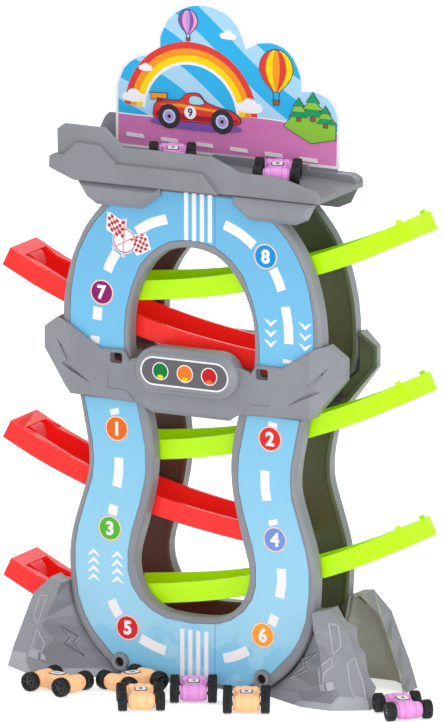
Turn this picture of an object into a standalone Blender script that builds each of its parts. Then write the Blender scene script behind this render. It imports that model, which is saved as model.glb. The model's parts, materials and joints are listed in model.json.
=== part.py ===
"""Ramp-racer tower: two mirrored figure-of-eight walls that hold sloping channels, a launch deck and eight cars.

Lengths are millimetres until a mesh is made. X is right, Y is back and Z is up; the ground is Z = 0.
"""

import math

import bmesh
import bpy
from mathutils import Matrix, Vector

MM = 0.001
SEAT_GAP = 0.4

# Wall depth levels, measured outwards from the middle plane Y = 0
FACE = 30.0
FLANGE = 20.0
PLATE = 2.5
RIM_ROLL = 2.6
RECESS = 1.0
STICKER_THICK = 0.5
STICKER_IN = FACE - RECESS + 0.3
STICKER_OUT = STICKER_IN + STICKER_THICK
STICKER_MARGIN = 0.35
SEAM_X, SEAM_GAP = 17.5, 0.4

# Waist belt depths
BELT_FACE = FACE + 4.0
BELT_END = FACE - 4.4
BELT_FOLD_X = 90.0
BELT_BEVEL = 1.3
BOLT_DEPTH = 0.7
WING_FLOOR = FACE - 6.4

# Channels
TRACK_HALF = FLANGE - 1.4
TRACK_WALL = 2.0
TRACK_FLOOR = 2.0
TRACK_HIGH = 13.4
TRACK_STEPS = 18
GREEN_END_WALL = 3.0
RED_END_WALL = 9.0
PEG = 3.0
PEG_REACH = FACE - PLATE - 2.5
SOCKET_WALL = 1.6
HIGH_PEG_X, LOW_PEG_X = 62.0, 52.4
GREEN_HIGH_X, RED_HIGH_X = 159.0, -148.5

# Channel bottom line: distance in from the high end, drop from the high end
GREEN_DROP = [
    (0.0, 0.0), (23.0, 11.3), (41.0, 19.7), (59.0, 27.0), (77.0, 33.7), (95.0, 39.9), (113.0, 45.3),
    (131.0, 49.9), (149.0, 53.9), (167.0, 57.1), (185.0, 59.7), (203.0, 61.9), (219.0, 63.7),
]
RED_DROP = [
    (0.0, 0.0), (20.5, 10.2), (38.5, 17.8), (56.5, 24.4), (74.5, 30.4), (92.5, 35.8), (110.5, 40.4),
    (128.5, 44.2), (146.5, 47.4), (164.5, 50.0), (182.5, 52.2), (207.5, 54.8),
]

# The lowest mouth over the ground, then each higher mouth over the rims of the channel that catches it
GROUND_GAP = 3.1
MOUTH_GAPS = {
    "green_track_low": 11.2,
    "red_track_mid": 14.5,
    "green_track_mid": 14.8,
    "red_track_top": 34.4,
    "green_track_top": 5.5,
}

# Deck; heights are over its underside, which lies a gap over the top channel's high end
DECK_GAP = 19.6
DECK_LEFT, DECK_RIGHT = -99.0, 96.4
DECK_HALF = FACE
DECK_WALL = 3.0
DECK_SKIN = 3.0
DECK_TUCK_X = -86.0
FLOOR_AT_MIDDLE = 7.4
FLOOR_SLOPE = 0.0385
SILL_Y = 23.4
SILL_TOP = 9.0
END_TOP = 19.0
CLIP_TOP = 12.6
STAND_TOP = 10.9
BOARD_FRONT, BOARD_BACK = 27.0, 29.2
BOARD_GAP = 0.3

# Cars
WHEEL_R = 6.5
WHEEL_W = 6.2
WHEEL_TRACK = 25.2
WHEELBASE = 26.0
HUB_R = 3.9
HUB_SINK = 0.9
AXLE_R = 1.2
BORE_GAP = 0.45
BARREL_R = 5.5
BODY_W = WHEEL_TRACK - WHEEL_W - 1.0
SPINE_HALF = 4.2
PAD_TOP = 5.8

# Half outlines (x, z), from the top down, on the wall's face
UPPER_OUTER = [
    (48.0, 338.2), (58.0, 331.0), (68.5, 322.0), (80.0, 307.4), (85.4, 297.0), (90.4, 285.6),
    (94.9, 268.5), (96.9, 254.5), (97.4, 242.0), (97.2, 228.0), (94.0, 214.0),
]
UPPER_STICKER_OUTER = [
    (40.0, 336.6), (50.0, 331.8), (61.9, 322.5), (71.9, 311.8), (78.8, 301.4), (84.6, 289.8),
    (87.8, 279.5), (90.8, 262.0), (91.5, 246.0), (91.2, 236.0), (90.6, 224.6),
]
UPPER_OPENING = [
    (0.0, 299.6), (6.4, 299.1), (17.7, 296.0), (25.5, 290.6), (31.4, 284.6), (37.4, 275.8),
    (42.4, 265.0), (45.6, 253.5), (46.7, 242.0), (46.7, 229.0), (44.6, 210.0),
]
UPPER_STICKER_INNER = [
    (0.0, 304.6), (6.4, 304.2), (16.2, 302.3), (23.8, 298.2), (31.0, 292.8), (38.7, 283.9),
    (45.3, 268.0), (49.2, 252.8), (50.4, 240.0), (50.5, 224.6),
]
LOWER_OUTER = [
    (85.2, 192.5), (82.0, 176.0), (78.9, 160.0), (77.9, 149.0), (78.6, 139.0), (81.8, 127.5),
    (86.8, 112.0), (91.0, 97.0), (92.8, 82.0), (92.3, 68.5), (91.0, 53.9), (86.8, 39.6),
    (79.4, 26.5), (70.5, 16.0), (61.3, 8.0), (52.0, 2.4), (44.0, 0.0),
]
LOWER_STICKER_OUTER = [
    (81.1, 190.8), (77.6, 174.0), (74.8, 160.0), (74.0, 148.0), (74.9, 136.0), (80.6, 118.0),
    (85.8, 101.0), (88.1, 88.0), (88.0, 72.0), (85.8, 54.0), (81.0, 41.0), (74.6, 30.5),
    (61.0, 16.2), (50.5, 8.6), (38.0, 3.2),
]
LOWER_OPENING = [
    (36.8, 200.0), (34.9, 190.0), (31.9, 178.0), (29.6, 164.0), (28.9, 150.0), (30.8, 132.5),
    (36.7, 107.0), (41.6, 90.5), (42.9, 79.0), (40.6, 68.0), (35.0, 58.4), (27.0, 52.2),
    (17.0, 48.6), (0.0, 47.6),
]
LOWER_STICKER_INNER = [
    (41.2, 190.8), (37.6, 174.0), (35.0, 161.0), (34.4, 146.0), (35.2, 137.0), (39.4, 119.5),
    (45.2, 101.0), (47.8, 87.5), (47.8, 73.5), (44.8, 64.0), (38.7, 55.6), (29.5, 48.8),
    (19.5, 45.0), (0.0, 43.4),
]
RING_UNDER_DECK = 0.8

# Waist belt outlines (x, z)
BELT_UPPER = [(100.6, 243.0), (92.2, 240.2), (68.2, 225.4), (50.0, 225.6), (45.6, 219.6), (35.0, 223.0)]
BELT_LOWER = [(113.0, 234.4), (113.0, 219.8), (89.6, 192.0), (37.0, 190.4), (28.4, 185.0)]
BELT_WING = [
    (113.0, 234.4), (113.0, 219.8), (89.6, 192.0), (85.6, 192.0), (85.6, 204.0), (98.2, 216.0), (98.2, 241.2),
    (100.6, 243.0),
]
WING_HOLLOW = [(110.5, 233.2), (110.5, 220.8), (89.6, 195.9), (84.0, 195.9), (84.0, 239.8), (101.2, 239.8)]
BELT_LIP = [(34.0, 190.4), (28.4, 185.0), (-28.4, 185.0), (-34.0, 190.4), (-35.6, 200.0), (35.6, 200.0)]
LIP_FOLD_Z = 190.3
BELT_STEP = [(76.0, 214.6), (60.7, 214.3), (60.9, 199.0), (46.7, 198.2), (40.8, 191.6), (36.0, 182.0)]
STEP_TOP, STEP_SLOPE = 219.0, 0.031
BELT_BOLT = [(102.0, 228.4), (87.4, 215.6), (91.0, 213.0), (74.0, 200.8), (96.6, 211.4), (92.4, 214.8)]
HOLE_X, HOLE_Z, HOLE_HALF_X, HOLE_HALF_Z, HOLE_R = 54.6, 220.0, 4.6, 3.6, 1.4
HOUSING_HALF, HOUSING_R, HOUSING_Z = 38.0, 15.63, 215.8
HOUSING_STEPS = [(-7.0, 0.0), (3.0, 0.0), (4.4, 1.4), (4.6, 3.0), (6.4, 3.8)]
LABEL_HALF, LABEL_R = 32.8, 9.6
LABEL_SINK, LABEL_THICK = 0.7, 0.5

# Round socket low on each side of the lower ring
FOOT_BOSS_X, FOOT_BOSS_Z, FOOT_BOSS_R = 53.4, 11.2, 5.8
FOOT_BOSS_BORE = 2.4

# Legs (x, y, z): the line against the ring, the front ridge, the outer edge and the low corner
FOOT_WALL = 2.4
FOOT_FACE = FACE - 3.4
FOOT_CONTACT = [(92.9, 62.0), (90.2, 46.6), (82.6, 29.4), (72.6, 16.6), (60.8, 6.2), (49.4, 0.0)]
FOOT_RIDGE = [
    (94.4, -38.4, 62.4), (97.0, -41.2, 52.0), (103.4, -44.4, 38.0), (106.2, -46.4, 26.0),
    (109.4, -47.6, 11.0), (92.0, -48.6, 0.0),
]
FOOT_EDGE = [
    (104.2, -33.6, 64.6), (118.2, -32.6, 51.4), (124.8, -33.2, 34.4), (133.0, -34.6, 12.0), (136.4, -35.2, 0.0),
]
FOOT_LOW = [(114.6, -49.0, 0.0), (115.4, -47.2, 9.6)]

# Corbels between the upper ring and the deck (x, height over the deck's underside)
LEFT_BRACKET = [(-84.6, -0.5), (-78.0, -10.8), (-70.0, -15.8), (-36.0, -15.8), (-22.6, -5.6), (-22.6, -0.5)]
RIGHT_BRACKET = [(31.8, -0.5), (31.8, -5.6), (44.4, -15.4), (79.0, -15.4), (87.8, -11.4), (93.4, -0.5)]
BRACKET_DEPTHS = [(SEAT_GAP, 0.0), (2.0, 0.0), (6.0, 3.4)]

# Deck outlines (x, height over the deck's underside)
FRONT_RAIL = [
    (DECK_TUCK_X, 0.0), (DECK_LEFT, 5.4), (DECK_LEFT - 0.6, 32.6), (-94.3, 36.6), (-63.9, 36.4), (-50.0, 24.4),
    (15.6, 24.6), (37.3, 15.6), (62.0, 15.4), (74.0, 13.4), (93.0, 8.6), (DECK_RIGHT, 5.4), (DECK_RIGHT, 0.0),
]
FRONT_LAYER = [
    (DECK_TUCK_X, -0.4), (-104.4, 6.6), (-104.0, 14.4), (-100.4, 16.4), (-93.5, 16.2), (-84.0, 25.3),
    (-66.8, 25.0), (-54.2, 13.3), (9.9, 13.3), (22.3, 0.0),
]
BACK_RAIL = [
    (DECK_TUCK_X, 0.0), (DECK_LEFT, 5.4), (DECK_LEFT - 1.6, 21.0), (-96.4, 29.6), (-93.4, 32.6), (-63.9, 32.6),
    (-50.0, 22.0), (15.6, 22.0), (37.3, 9.2), (91.0, 9.2), (95.6, 6.6), (DECK_RIGHT, 4.6), (DECK_RIGHT, 0.0),
]

# Backdrop board (x, height over the top of its stand); its lobes are drawn as four smooth runs
BOARD_LEFT = [(-86.6, 42.1), (-82.0, 54.6), (-72.0, 63.1), (-61.5, 66.3), (-55.0, 66.7)]
BOARD_CROWN = [
    (-54.8, 78.1), (-48.5, 91.1), (-37.0, 99.9), (-22.0, 103.7), (-5.0, 100.3), (6.5, 90.7), (12.4, 77.7),
]
BOARD_SHOULDER = [(19.0, 81.5), (29.0, 83.0), (39.5, 80.7), (48.0, 73.7), (53.6, 61.7), (54.6, 52.3)]
BOARD_RIGHT = [(62.0, 52.9), (71.5, 50.1), (78.6, 43.5), (81.6, 34.1)]
BOARD_FOOT_X = (-86.6, 80.8)

# Name, centre x, centre y, heading in degrees, body colour
CARS = [
    ("floor_car_1", -74.0, -81.5, -11.0, "orange"),
    ("floor_car_2", -31.0, -56.3, -113.5, "orange"),
    ("floor_car_3", -4.6, -94.5, -60.0, "orange"),
    ("floor_car_4", 16.4, -58.6, -63.0, "purple"),
    ("floor_car_5", 61.2, -68.6, -63.0, "orange"),
    ("floor_car_6", 161.6, -37.0, -46.0, "purple"),
    ("deck_car_1", -28.7, -2.0, -62.0, "purple"),
    ("deck_car_2", 49.7, -2.0, -66.0, "purple"),
]

# Linear colour and roughness of each finish
FINISHES = {
    "grey": ((0.27, 0.275, 0.31), 0.38),
    "dark_grey": ((0.24, 0.245, 0.26), 0.42),
    "print": ((0.23, 0.58, 0.82), 0.28),
    "dark_print": ((0.12, 0.12, 0.13), 0.30),
    "card": ((0.05, 0.45, 0.82), 0.40),
    "green": ((0.44, 0.86, 0.0), 0.22),
    "red": ((0.85, 0.04, 0.03), 0.22),
    "orange": ((0.95, 0.5, 0.2), 0.35),
    "purple": ((0.7, 0.28, 0.85), 0.35),
    "black": ((0.02, 0.02, 0.022), 0.50),
}


def clear():
    for obj in list(bpy.data.objects):
        bpy.data.objects.remove(obj, do_unlink=True)


def paint(obj, finish):
    """Gives an object a material of its own."""
    colour, roughness = FINISHES[finish]
    material = bpy.data.materials.new(f"{obj.name}_{finish}")
    material.use_nodes = True
    shader = material.node_tree.nodes["Principled BSDF"]
    shader.inputs["Base Color"].default_value = (*colour, 1.0)
    shader.inputs["Roughness"].default_value = roughness
    shader.inputs["Metallic"].default_value = 0.0
    obj.data.materials.clear()
    obj.data.materials.append(material)
    return obj


def link(name, mesh):
    obj = bpy.data.objects.new(name, mesh)
    bpy.context.scene.collection.objects.link(obj)
    return obj


def mesh_object(name, points, faces):
    """A closed mesh from points in millimetres, with its normals turned outwards."""
    mesh = bpy.data.meshes.new(name)
    mesh.from_pydata([Vector(p) * MM for p in points], [], faces)
    work = bmesh.new()
    work.from_mesh(mesh)
    bmesh.ops.remove_doubles(work, verts=work.verts, dist=1e-7)
    bmesh.ops.recalc_face_normals(work, faces=work.faces)
    if work.calc_volume(signed=True) < 0:
        bmesh.ops.reverse_faces(work, faces=work.faces)
    work.to_mesh(mesh)
    work.free()
    return link(name, mesh)


def loft(name, loops):
    """Joins closed loops of equal length, and caps the first and the last."""
    count = len(loops[0])
    points = [p for loop in loops for p in loop]
    faces = [list(range(count)), list(range((len(loops) - 1) * count, len(loops) * count))]
    for k in range(len(loops) - 1):
        for i in range(count):
            j = (i + 1) % count
            faces.append([k * count + i, k * count + j, (k + 1) * count + j, (k + 1) * count + i])
    return mesh_object(name, points, faces)


def hull(name, points):
    """The tightest closed solid round some points."""
    work = bmesh.new()
    for p in points:
        work.verts.new(Vector(p) * MM)
    bmesh.ops.convex_hull(work, input=work.verts)
    bmesh.ops.delete(work, geom=[v for v in work.verts if not v.link_faces], context="VERTS")
    bmesh.ops.recalc_face_normals(work, faces=work.faces)
    mesh = bpy.data.meshes.new(name)
    work.to_mesh(mesh)
    work.free()
    return link(name, mesh)


def boolean(obj, cutter, operation="DIFFERENCE"):
    """Applies one cutter and removes it."""
    step = obj.modifiers.new("cut", "BOOLEAN")
    step.operation = operation
    step.solver = "EXACT"
    step.object = cutter
    graph = bpy.context.evaluated_depsgraph_get()
    mesh = bpy.data.meshes.new_from_object(obj.evaluated_get(graph))
    obj.modifiers.remove(step)
    obj.data = mesh
    bpy.data.objects.remove(cutter, do_unlink=True)
    return obj


def join(obj, piece):
    return boolean(obj, piece, "UNION")


def smooth(points, steps=2):
    """Adds points between the given ones on a Catmull-Rom curve."""
    out = []
    for i in range(len(points) - 1):
        p0 = Vector(points[max(i - 1, 0)])
        p1, p2 = Vector(points[i]), Vector(points[i + 1])
        p3 = Vector(points[min(i + 2, len(points) - 1)])
        for k in range(steps):
            t = k / steps
            out.append(tuple(0.5 * (
                2 * p1 + (p2 - p0) * t + (2 * p0 - 5 * p1 + 4 * p2 - p3) * t * t
                + (3 * p1 - p0 - 3 * p2 + p3) * t ** 3
            )))
    out.append(tuple(points[-1]))
    return out


def mirrored(half):
    """A full loop from a half outline: the right side from the top down, then the left side back up."""
    return list(half) + [(-x, z) for x, z in reversed(half) if abs(x) > 1e-6]


def flipped(points, turn):
    return [(turn * x, z) for x, z in points]


def raised(points, height):
    return [(x, z + height) for x, z in points]


def fit_height(points, top):
    """Stretches a half outline of the upper ring so that the ring ends at a height, with its foot left in place."""
    foot, drawn_top = UPPER_OUTER[-1][1], UPPER_OUTER[0][1]
    scale = (top - foot) / (drawn_top - foot)
    return [(x, foot + (z - foot) * scale) for x, z in points]


def inset(loop, by):
    """Moves each point of a clockwise or anticlockwise loop inwards by a distance."""
    area = sum(a[0] * b[1] - b[0] * a[1] for a, b in zip(loop, loop[1:] + loop[:1]))
    turn = 1 if area > 0 else -1
    out = []
    for i, p in enumerate(loop):
        a, b = Vector(loop[i - 1]), Vector(loop[(i + 1) % len(loop)])
        p = Vector(p)
        one, two = (p - a).normalized(), (b - p).normalized()
        normal = Vector((-(one.y + two.y), one.x + two.x)) * turn
        if normal.length < 1e-6:
            normal = Vector((-one.y, one.x)) * turn
        normal.normalize()
        cos = max(0.5, normal.dot(Vector((-one.y, one.x)) * turn))
        out.append(tuple(p + normal * by / cos))
    return out


def levels(name, loop, steps, side):
    """A solid from one outline drawn at several depths; a step is (depth, inset)."""
    loops = []
    for depth, by in steps:
        shape = inset(loop, by) if abs(by) > 1e-9 else loop
        loops.append([(x, side * depth, z) for x, z in shape])
    return loft(name, loops)


def slab(name, loop, start, end, side):
    return levels(name, loop, [(start, 0.0), (end, 0.0)], side)


def across(name, section, half):
    """A solid from a section in (x, z) that runs across the deck to both sides."""
    return loft(name, [[(x, y, z) for x, z in section] for y in (-half, half)])


def rounded(cx, cz, half_x, half_z, radius, per_corner=4):
    """A rounded rectangle as a loop of (x, z)."""
    out = []
    for quarter, (sx, sz) in enumerate(((1, 1), (-1, 1), (-1, -1), (1, -1))):
        for k in range(per_corner + 1):
            angle = math.radians(90 * quarter + 90 * k / per_corner)
            out.append((
                cx + sx * (half_x - radius) + radius * math.cos(angle),
                cz + sz * (half_z - radius) + radius * math.sin(angle),
            ))
    return out


def stadium(cx, cz, half_x, radius, steps=10):
    """A slot shape with round ends as a loop of (x, z)."""
    out = []
    for side in (1, -1):
        for k in range(steps + 1):
            angle = side * math.radians(-90 + 180 * k / steps)
            out.append((
                cx + side * (half_x - radius + radius * math.cos(angle)),
                cz + radius * math.sin(angle),
            ))
    return out


def disc(cx, cz, radius, steps=14):
    """A circle as a loop of (x, z)."""
    turns = [2 * math.pi * k / steps for k in range(steps)]
    return [(cx + radius * math.cos(a), cz + radius * math.sin(a)) for a in turns]


def drop(table, distance):
    """Reads a channel's bottom line at a distance from its high end."""
    for (d0, z0), (d1, z1) in zip(table, table[1:]):
        if distance <= d1:
            return z0 + (z1 - z0) * (distance - d0) / (d1 - d0)
    return table[-1][1]


def kind(name):
    """A channel's drop table, the x of its high end, and the side that its high end is on."""
    if name.startswith("green"):
        return GREEN_DROP, GREEN_HIGH_X, 1
    return RED_DROP, RED_HIGH_X, -1


def channel_heights():
    """The bottom of each channel's high end, stacked up from the ground."""
    catcher = "red_track_low"
    heights = {catcher: GROUND_GAP + RED_DROP[-1][1]}
    for name, gap in MOUTH_GAPS.items():
        table, high_x, to_high = kind(name)
        mouth_x = high_x - to_high * table[-1][0]
        caught_table, caught_high_x, _ = kind(catcher)
        rim = heights[catcher] - drop(caught_table, abs(mouth_x - caught_high_x)) + TRACK_HIGH
        heights[name] = rim + gap + table[-1][1]
        catcher = name
    return heights


def peg_places(heights):
    """(x, z) of each channel's two pegs, keyed by channel; the first is towards the high end."""
    out = {}
    for name, height in heights.items():
        table, high_x, to_high = kind(name)
        xs = (to_high * HIGH_PEG_X, -to_high * LOW_PEG_X)
        out[name] = [(x, height - drop(table, abs(x - high_x)) + TRACK_HIGH / 2) for x in xs]
    return out


def belt_hole(turn, margin=0.0):
    """The outline of the small window beside the lamp housing."""
    return rounded(
        turn * HOLE_X, HOLE_Z, HOLE_HALF_X - margin, HOLE_HALF_Z - margin, HOLE_R, 1 if margin else 3,
    )


def add_sockets(shell, places, side):
    """Square sockets on the inside of a wall for the channel pegs."""
    half = PEG + SEAT_GAP
    for x, z in places:
        outline = rounded(x, z, half + SOCKET_WALL, half + SOCKET_WALL, 1.6, 1)
        join(shell, slab("boss", outline, FLANGE + 0.2, FACE - 1.6, side))
    for x, z in places:
        boolean(shell, slab("hole", rounded(x, z, half, half, 0.9, 1), FLANGE - 2.0, FACE - PLATE - 0.4, side))


def ring_shell(name, outer, opening, skin_outer, skin_inner, places, side):
    """One open-backed ring of the figure of eight, with a rolled rim and a shallow seat for its skin."""
    rim = [(FLANGE, 0.0), (FACE - RIM_ROLL, 0.0), (FACE - 0.8, 0.8), (FACE, RIM_ROLL)]
    shell = levels(name, outer, rim, side)
    cavity = slab("cavity", inset(outer, PLATE), FLANGE - 2.0, FACE - PLATE, side)
    boolean(cavity, slab("keep", inset(opening, -PLATE), FLANGE - 4.0, FACE, side))
    boolean(shell, cavity)
    add_sockets(shell, places, side)
    boolean(shell, levels("window", opening, [(FLANGE - 4.0, 0.0), (FACE - 1.6, 0.0), (FACE + 2.0, -2.2)], side))
    seat = slab("seat", skin_outer, FACE - RECESS, FACE + 3.0, side)
    boolean(seat, slab("hold", skin_inner, FACE - RECESS - 2.0, FACE + 5.0, side))
    boolean(shell, seat)
    return shell


def foot_socket(turn, radius, start, end, side):
    return slab("socket", disc(turn * FOOT_BOSS_X, FOOT_BOSS_Z, radius), start, end, side)


def add_foot_sockets(shell, side):
    for turn in (-1, 1):
        join(shell, foot_socket(turn, FOOT_BOSS_R, FACE - 2.0, FACE + 2.4, side))
        boolean(shell, foot_socket(turn, FOOT_BOSS_R - FOOT_BOSS_BORE, FACE - 1.0, FACE + 4.0, side))


def sticker(name, outer, inner, left, right, side):
    """Half of a ring's printed skin, between two upright lines."""
    skin = slab(name, inset(outer, STICKER_MARGIN), STICKER_IN, STICKER_OUT, side)
    boolean(skin, slab("middle", inset(inner, -STICKER_MARGIN), STICKER_IN - 2.0, STICKER_OUT + 2.0, side))
    if min(z for x, z in outer) < FOOT_BOSS_Z:
        for turn in (-1, 1):
            boolean(skin, foot_socket(turn, FOOT_BOSS_R + 0.5, STICKER_IN - 2.0, STICKER_OUT + 2.0, side))
    span = [(left, -20.0), (right, -20.0), (right, 500.0), (left, 500.0)]
    return boolean(skin, slab("span", span, STICKER_IN - 4.0, STICKER_OUT + 4.0, side), "INTERSECT")


def wing(plate, turn, side):
    """The swept-back end of the belt: a flange behind it, its hollow, and the slanted face."""
    flange = slab("wing", flipped(BELT_WING, turn), FLANGE, FACE + 0.9, side)
    boolean(flange, slab("hollow", flipped(WING_HOLLOW, turn), FLANGE - 1.0, WING_FLOOR, side))
    join(plate, flange)
    boolean(plate, slab("hole", belt_hole(turn), FACE - 2.0, BELT_FACE + 4.0, side))
    past = 120.0
    slant = [
        (BELT_FOLD_X, BELT_FACE), (past, BELT_FACE - sweep_back(past)), (past, BELT_FACE + 6.0),
        (BELT_FOLD_X, BELT_FACE + 6.0),
    ]
    boolean(plate, loft("slant", [[(turn * x, side * y, z) for x, y in slant] for z in (180.0, 250.0)]))


def sweep_back(x):
    """How far the belt's face lies behind its middle at a distance from the centre."""
    slope = (BELT_FACE - BELT_END) / (BELT_WING[0][0] - BELT_FOLD_X)
    return slope * max(0.0, abs(x) - BELT_FOLD_X)


def waist(name, side):
    """The faceted belt: swept-back wings, a raised lamp housing and a stepped middle."""
    front = BELT_FACE + 3.0
    loop = mirrored(BELT_UPPER[::-1] + BELT_LOWER)
    depths = [(FACE + SEAT_GAP, 0.0), (BELT_FACE - BELT_BEVEL, 0.0), (BELT_FACE, BELT_BEVEL)]
    plate = levels(name, loop, depths, side)
    for turn in (-1, 1):
        wing(plate, turn, side)
    join(plate, loft("under", [
        [(x, side * (FACE - 4.0), z) for x, z in BELT_LIP],
        [(x, side * (FACE + 0.6), z) for x, z in BELT_LIP],
        [(x * 0.98, side * (BELT_FACE - 2.2), max(z, LIP_FOLD_Z)) for x, z in BELT_LIP],
    ]))
    boolean(plate, loft("slope", [
        [(x, side * (FACE + 0.2), 184.0), (x, side * (FACE + 6.0), 192.0), (x, side * (FACE + 6.0), 180.0)]
        for x in (-60.0, 60.0)
    ]))
    edge = flipped(BELT_STEP, -1) + BELT_STEP[::-1]
    edge += [(BELT_STEP[0][0], STEP_TOP + 2.0), (-BELT_STEP[0][0], STEP_TOP + 2.0)]
    deep = [(x, side * (BELT_FACE - STEP_SLOPE * (STEP_TOP - z)), z) for x, z in edge]
    boolean(plate, loft("step", [deep, [(x, side * front, z) for x, z in edge]]))
    for turn in (-1, 1):
        bolt = flipped(BELT_BOLT, turn)
        floor = [(x, side * (BELT_FACE - BOLT_DEPTH - sweep_back(x)), z) for x, z in bolt]
        boolean(plate, loft("bolt", [floor, [(x, side * front, z) for x, z in bolt]]))
    join(plate, loft("housing", [
        [(x, side * (BELT_FACE + rise), z) for x, z in stadium(0.0, HOUSING_Z, HOUSING_HALF - by, HOUSING_R - by)]
        for rise, by in HOUSING_STEPS
    ]))
    top = BELT_FACE + HOUSING_STEPS[-1][0]
    label = stadium(0.0, HOUSING_Z, LABEL_HALF + SEAT_GAP, LABEL_R + SEAT_GAP)
    return boolean(plate, slab("seat", label, top - LABEL_SINK - 0.3, top + 3.6, side))


def lamp_label(name, side):
    """The thin plate in the housing's seat."""
    start = BELT_FACE + HOUSING_STEPS[-1][0] - LABEL_SINK
    return slab(name, stadium(0.0, HOUSING_Z, LABEL_HALF, LABEL_R), start, start + LABEL_THICK, side)


def foot_solid(name, side, turn, wall):
    """The flared leg as one closed solid; a wall over zero gives the space inside it."""
    contact = [(x + wall * 0.5, -(FOOT_FACE - wall), z - 0.4 * (0 < z < 40)) for x, z in FOOT_CONTACT]
    ridge = [(x, y + wall * 1.15, z - wall * 0.9 * (k == 0)) for k, (x, y, z) in enumerate(FOOT_RIDGE)]
    edge = [(x - wall * 1.1, y + wall * 0.9, z - wall * (k == 0)) for k, (x, y, z) in enumerate(FOOT_EDGE)]
    low = [(x - wall * 0.4, y + wall * 1.15, z) for x, y, z in FOOT_LOW]
    back = FLANGE - 10.0 if wall else FLANGE - 0.6
    rear = [(x, -back, z) for x, y, z in contact] + [(x, -back, z) for x, y, z in edge]
    points = contact + ridge + edge + low + rear
    c, r = 0, len(contact)
    e = r + len(ridge)
    l = e + len(edge)
    b = l + len(low)
    side_b = b + len(contact)
    faces = [
        [r, r + 1, e + 1, e], [r + 1, r + 2, e + 2, e + 1], [r + 2, r + 3, l + 1, e + 3, e + 2],
        [r + 3, r + 4, l + 1], [r + 4, r + 5, l, l + 1], [l, e + 4, e + 3, l + 1],
        [c, r, e, side_b, b], [c + 5, b + 5, b + 10, e + 4, l, r + 5],
        [b + k for k in range(6)] + [b + 10 - k for k in range(5)],
    ]
    faces += [[c + k, c + k + 1, r + k + 1, r + k] for k in range(5)]
    faces += [[c + k, b + k, b + k + 1, c + k + 1] for k in range(5)]
    faces += [[e + k, e + k + 1, side_b + 1 + k, side_b + k] for k in range(4)]
    triangles = [[face[0], face[i], face[i + 1]] for face in faces for i in range(1, len(face) - 1)]
    if wall:
        points = [(x, y, z if z > 0.5 else -3.0) for x, y, z in points]
    return mesh_object(name, [(turn * x, -side * y, z) for x, y, z in points], triangles)


def foot(name, side, turn):
    """A rock-like flared leg, open behind and below."""
    return boolean(foot_solid(name, side, turn, 0.0), foot_solid("inner", side, turn, FOOT_WALL))


def bracket(name, outline, side, deck_z):
    """A tapered corbel between the deck and the upper ring."""
    return levels(name, raised(outline, deck_z), [(FACE + depth, by) for depth, by in BRACKET_DEPTHS], side)


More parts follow.
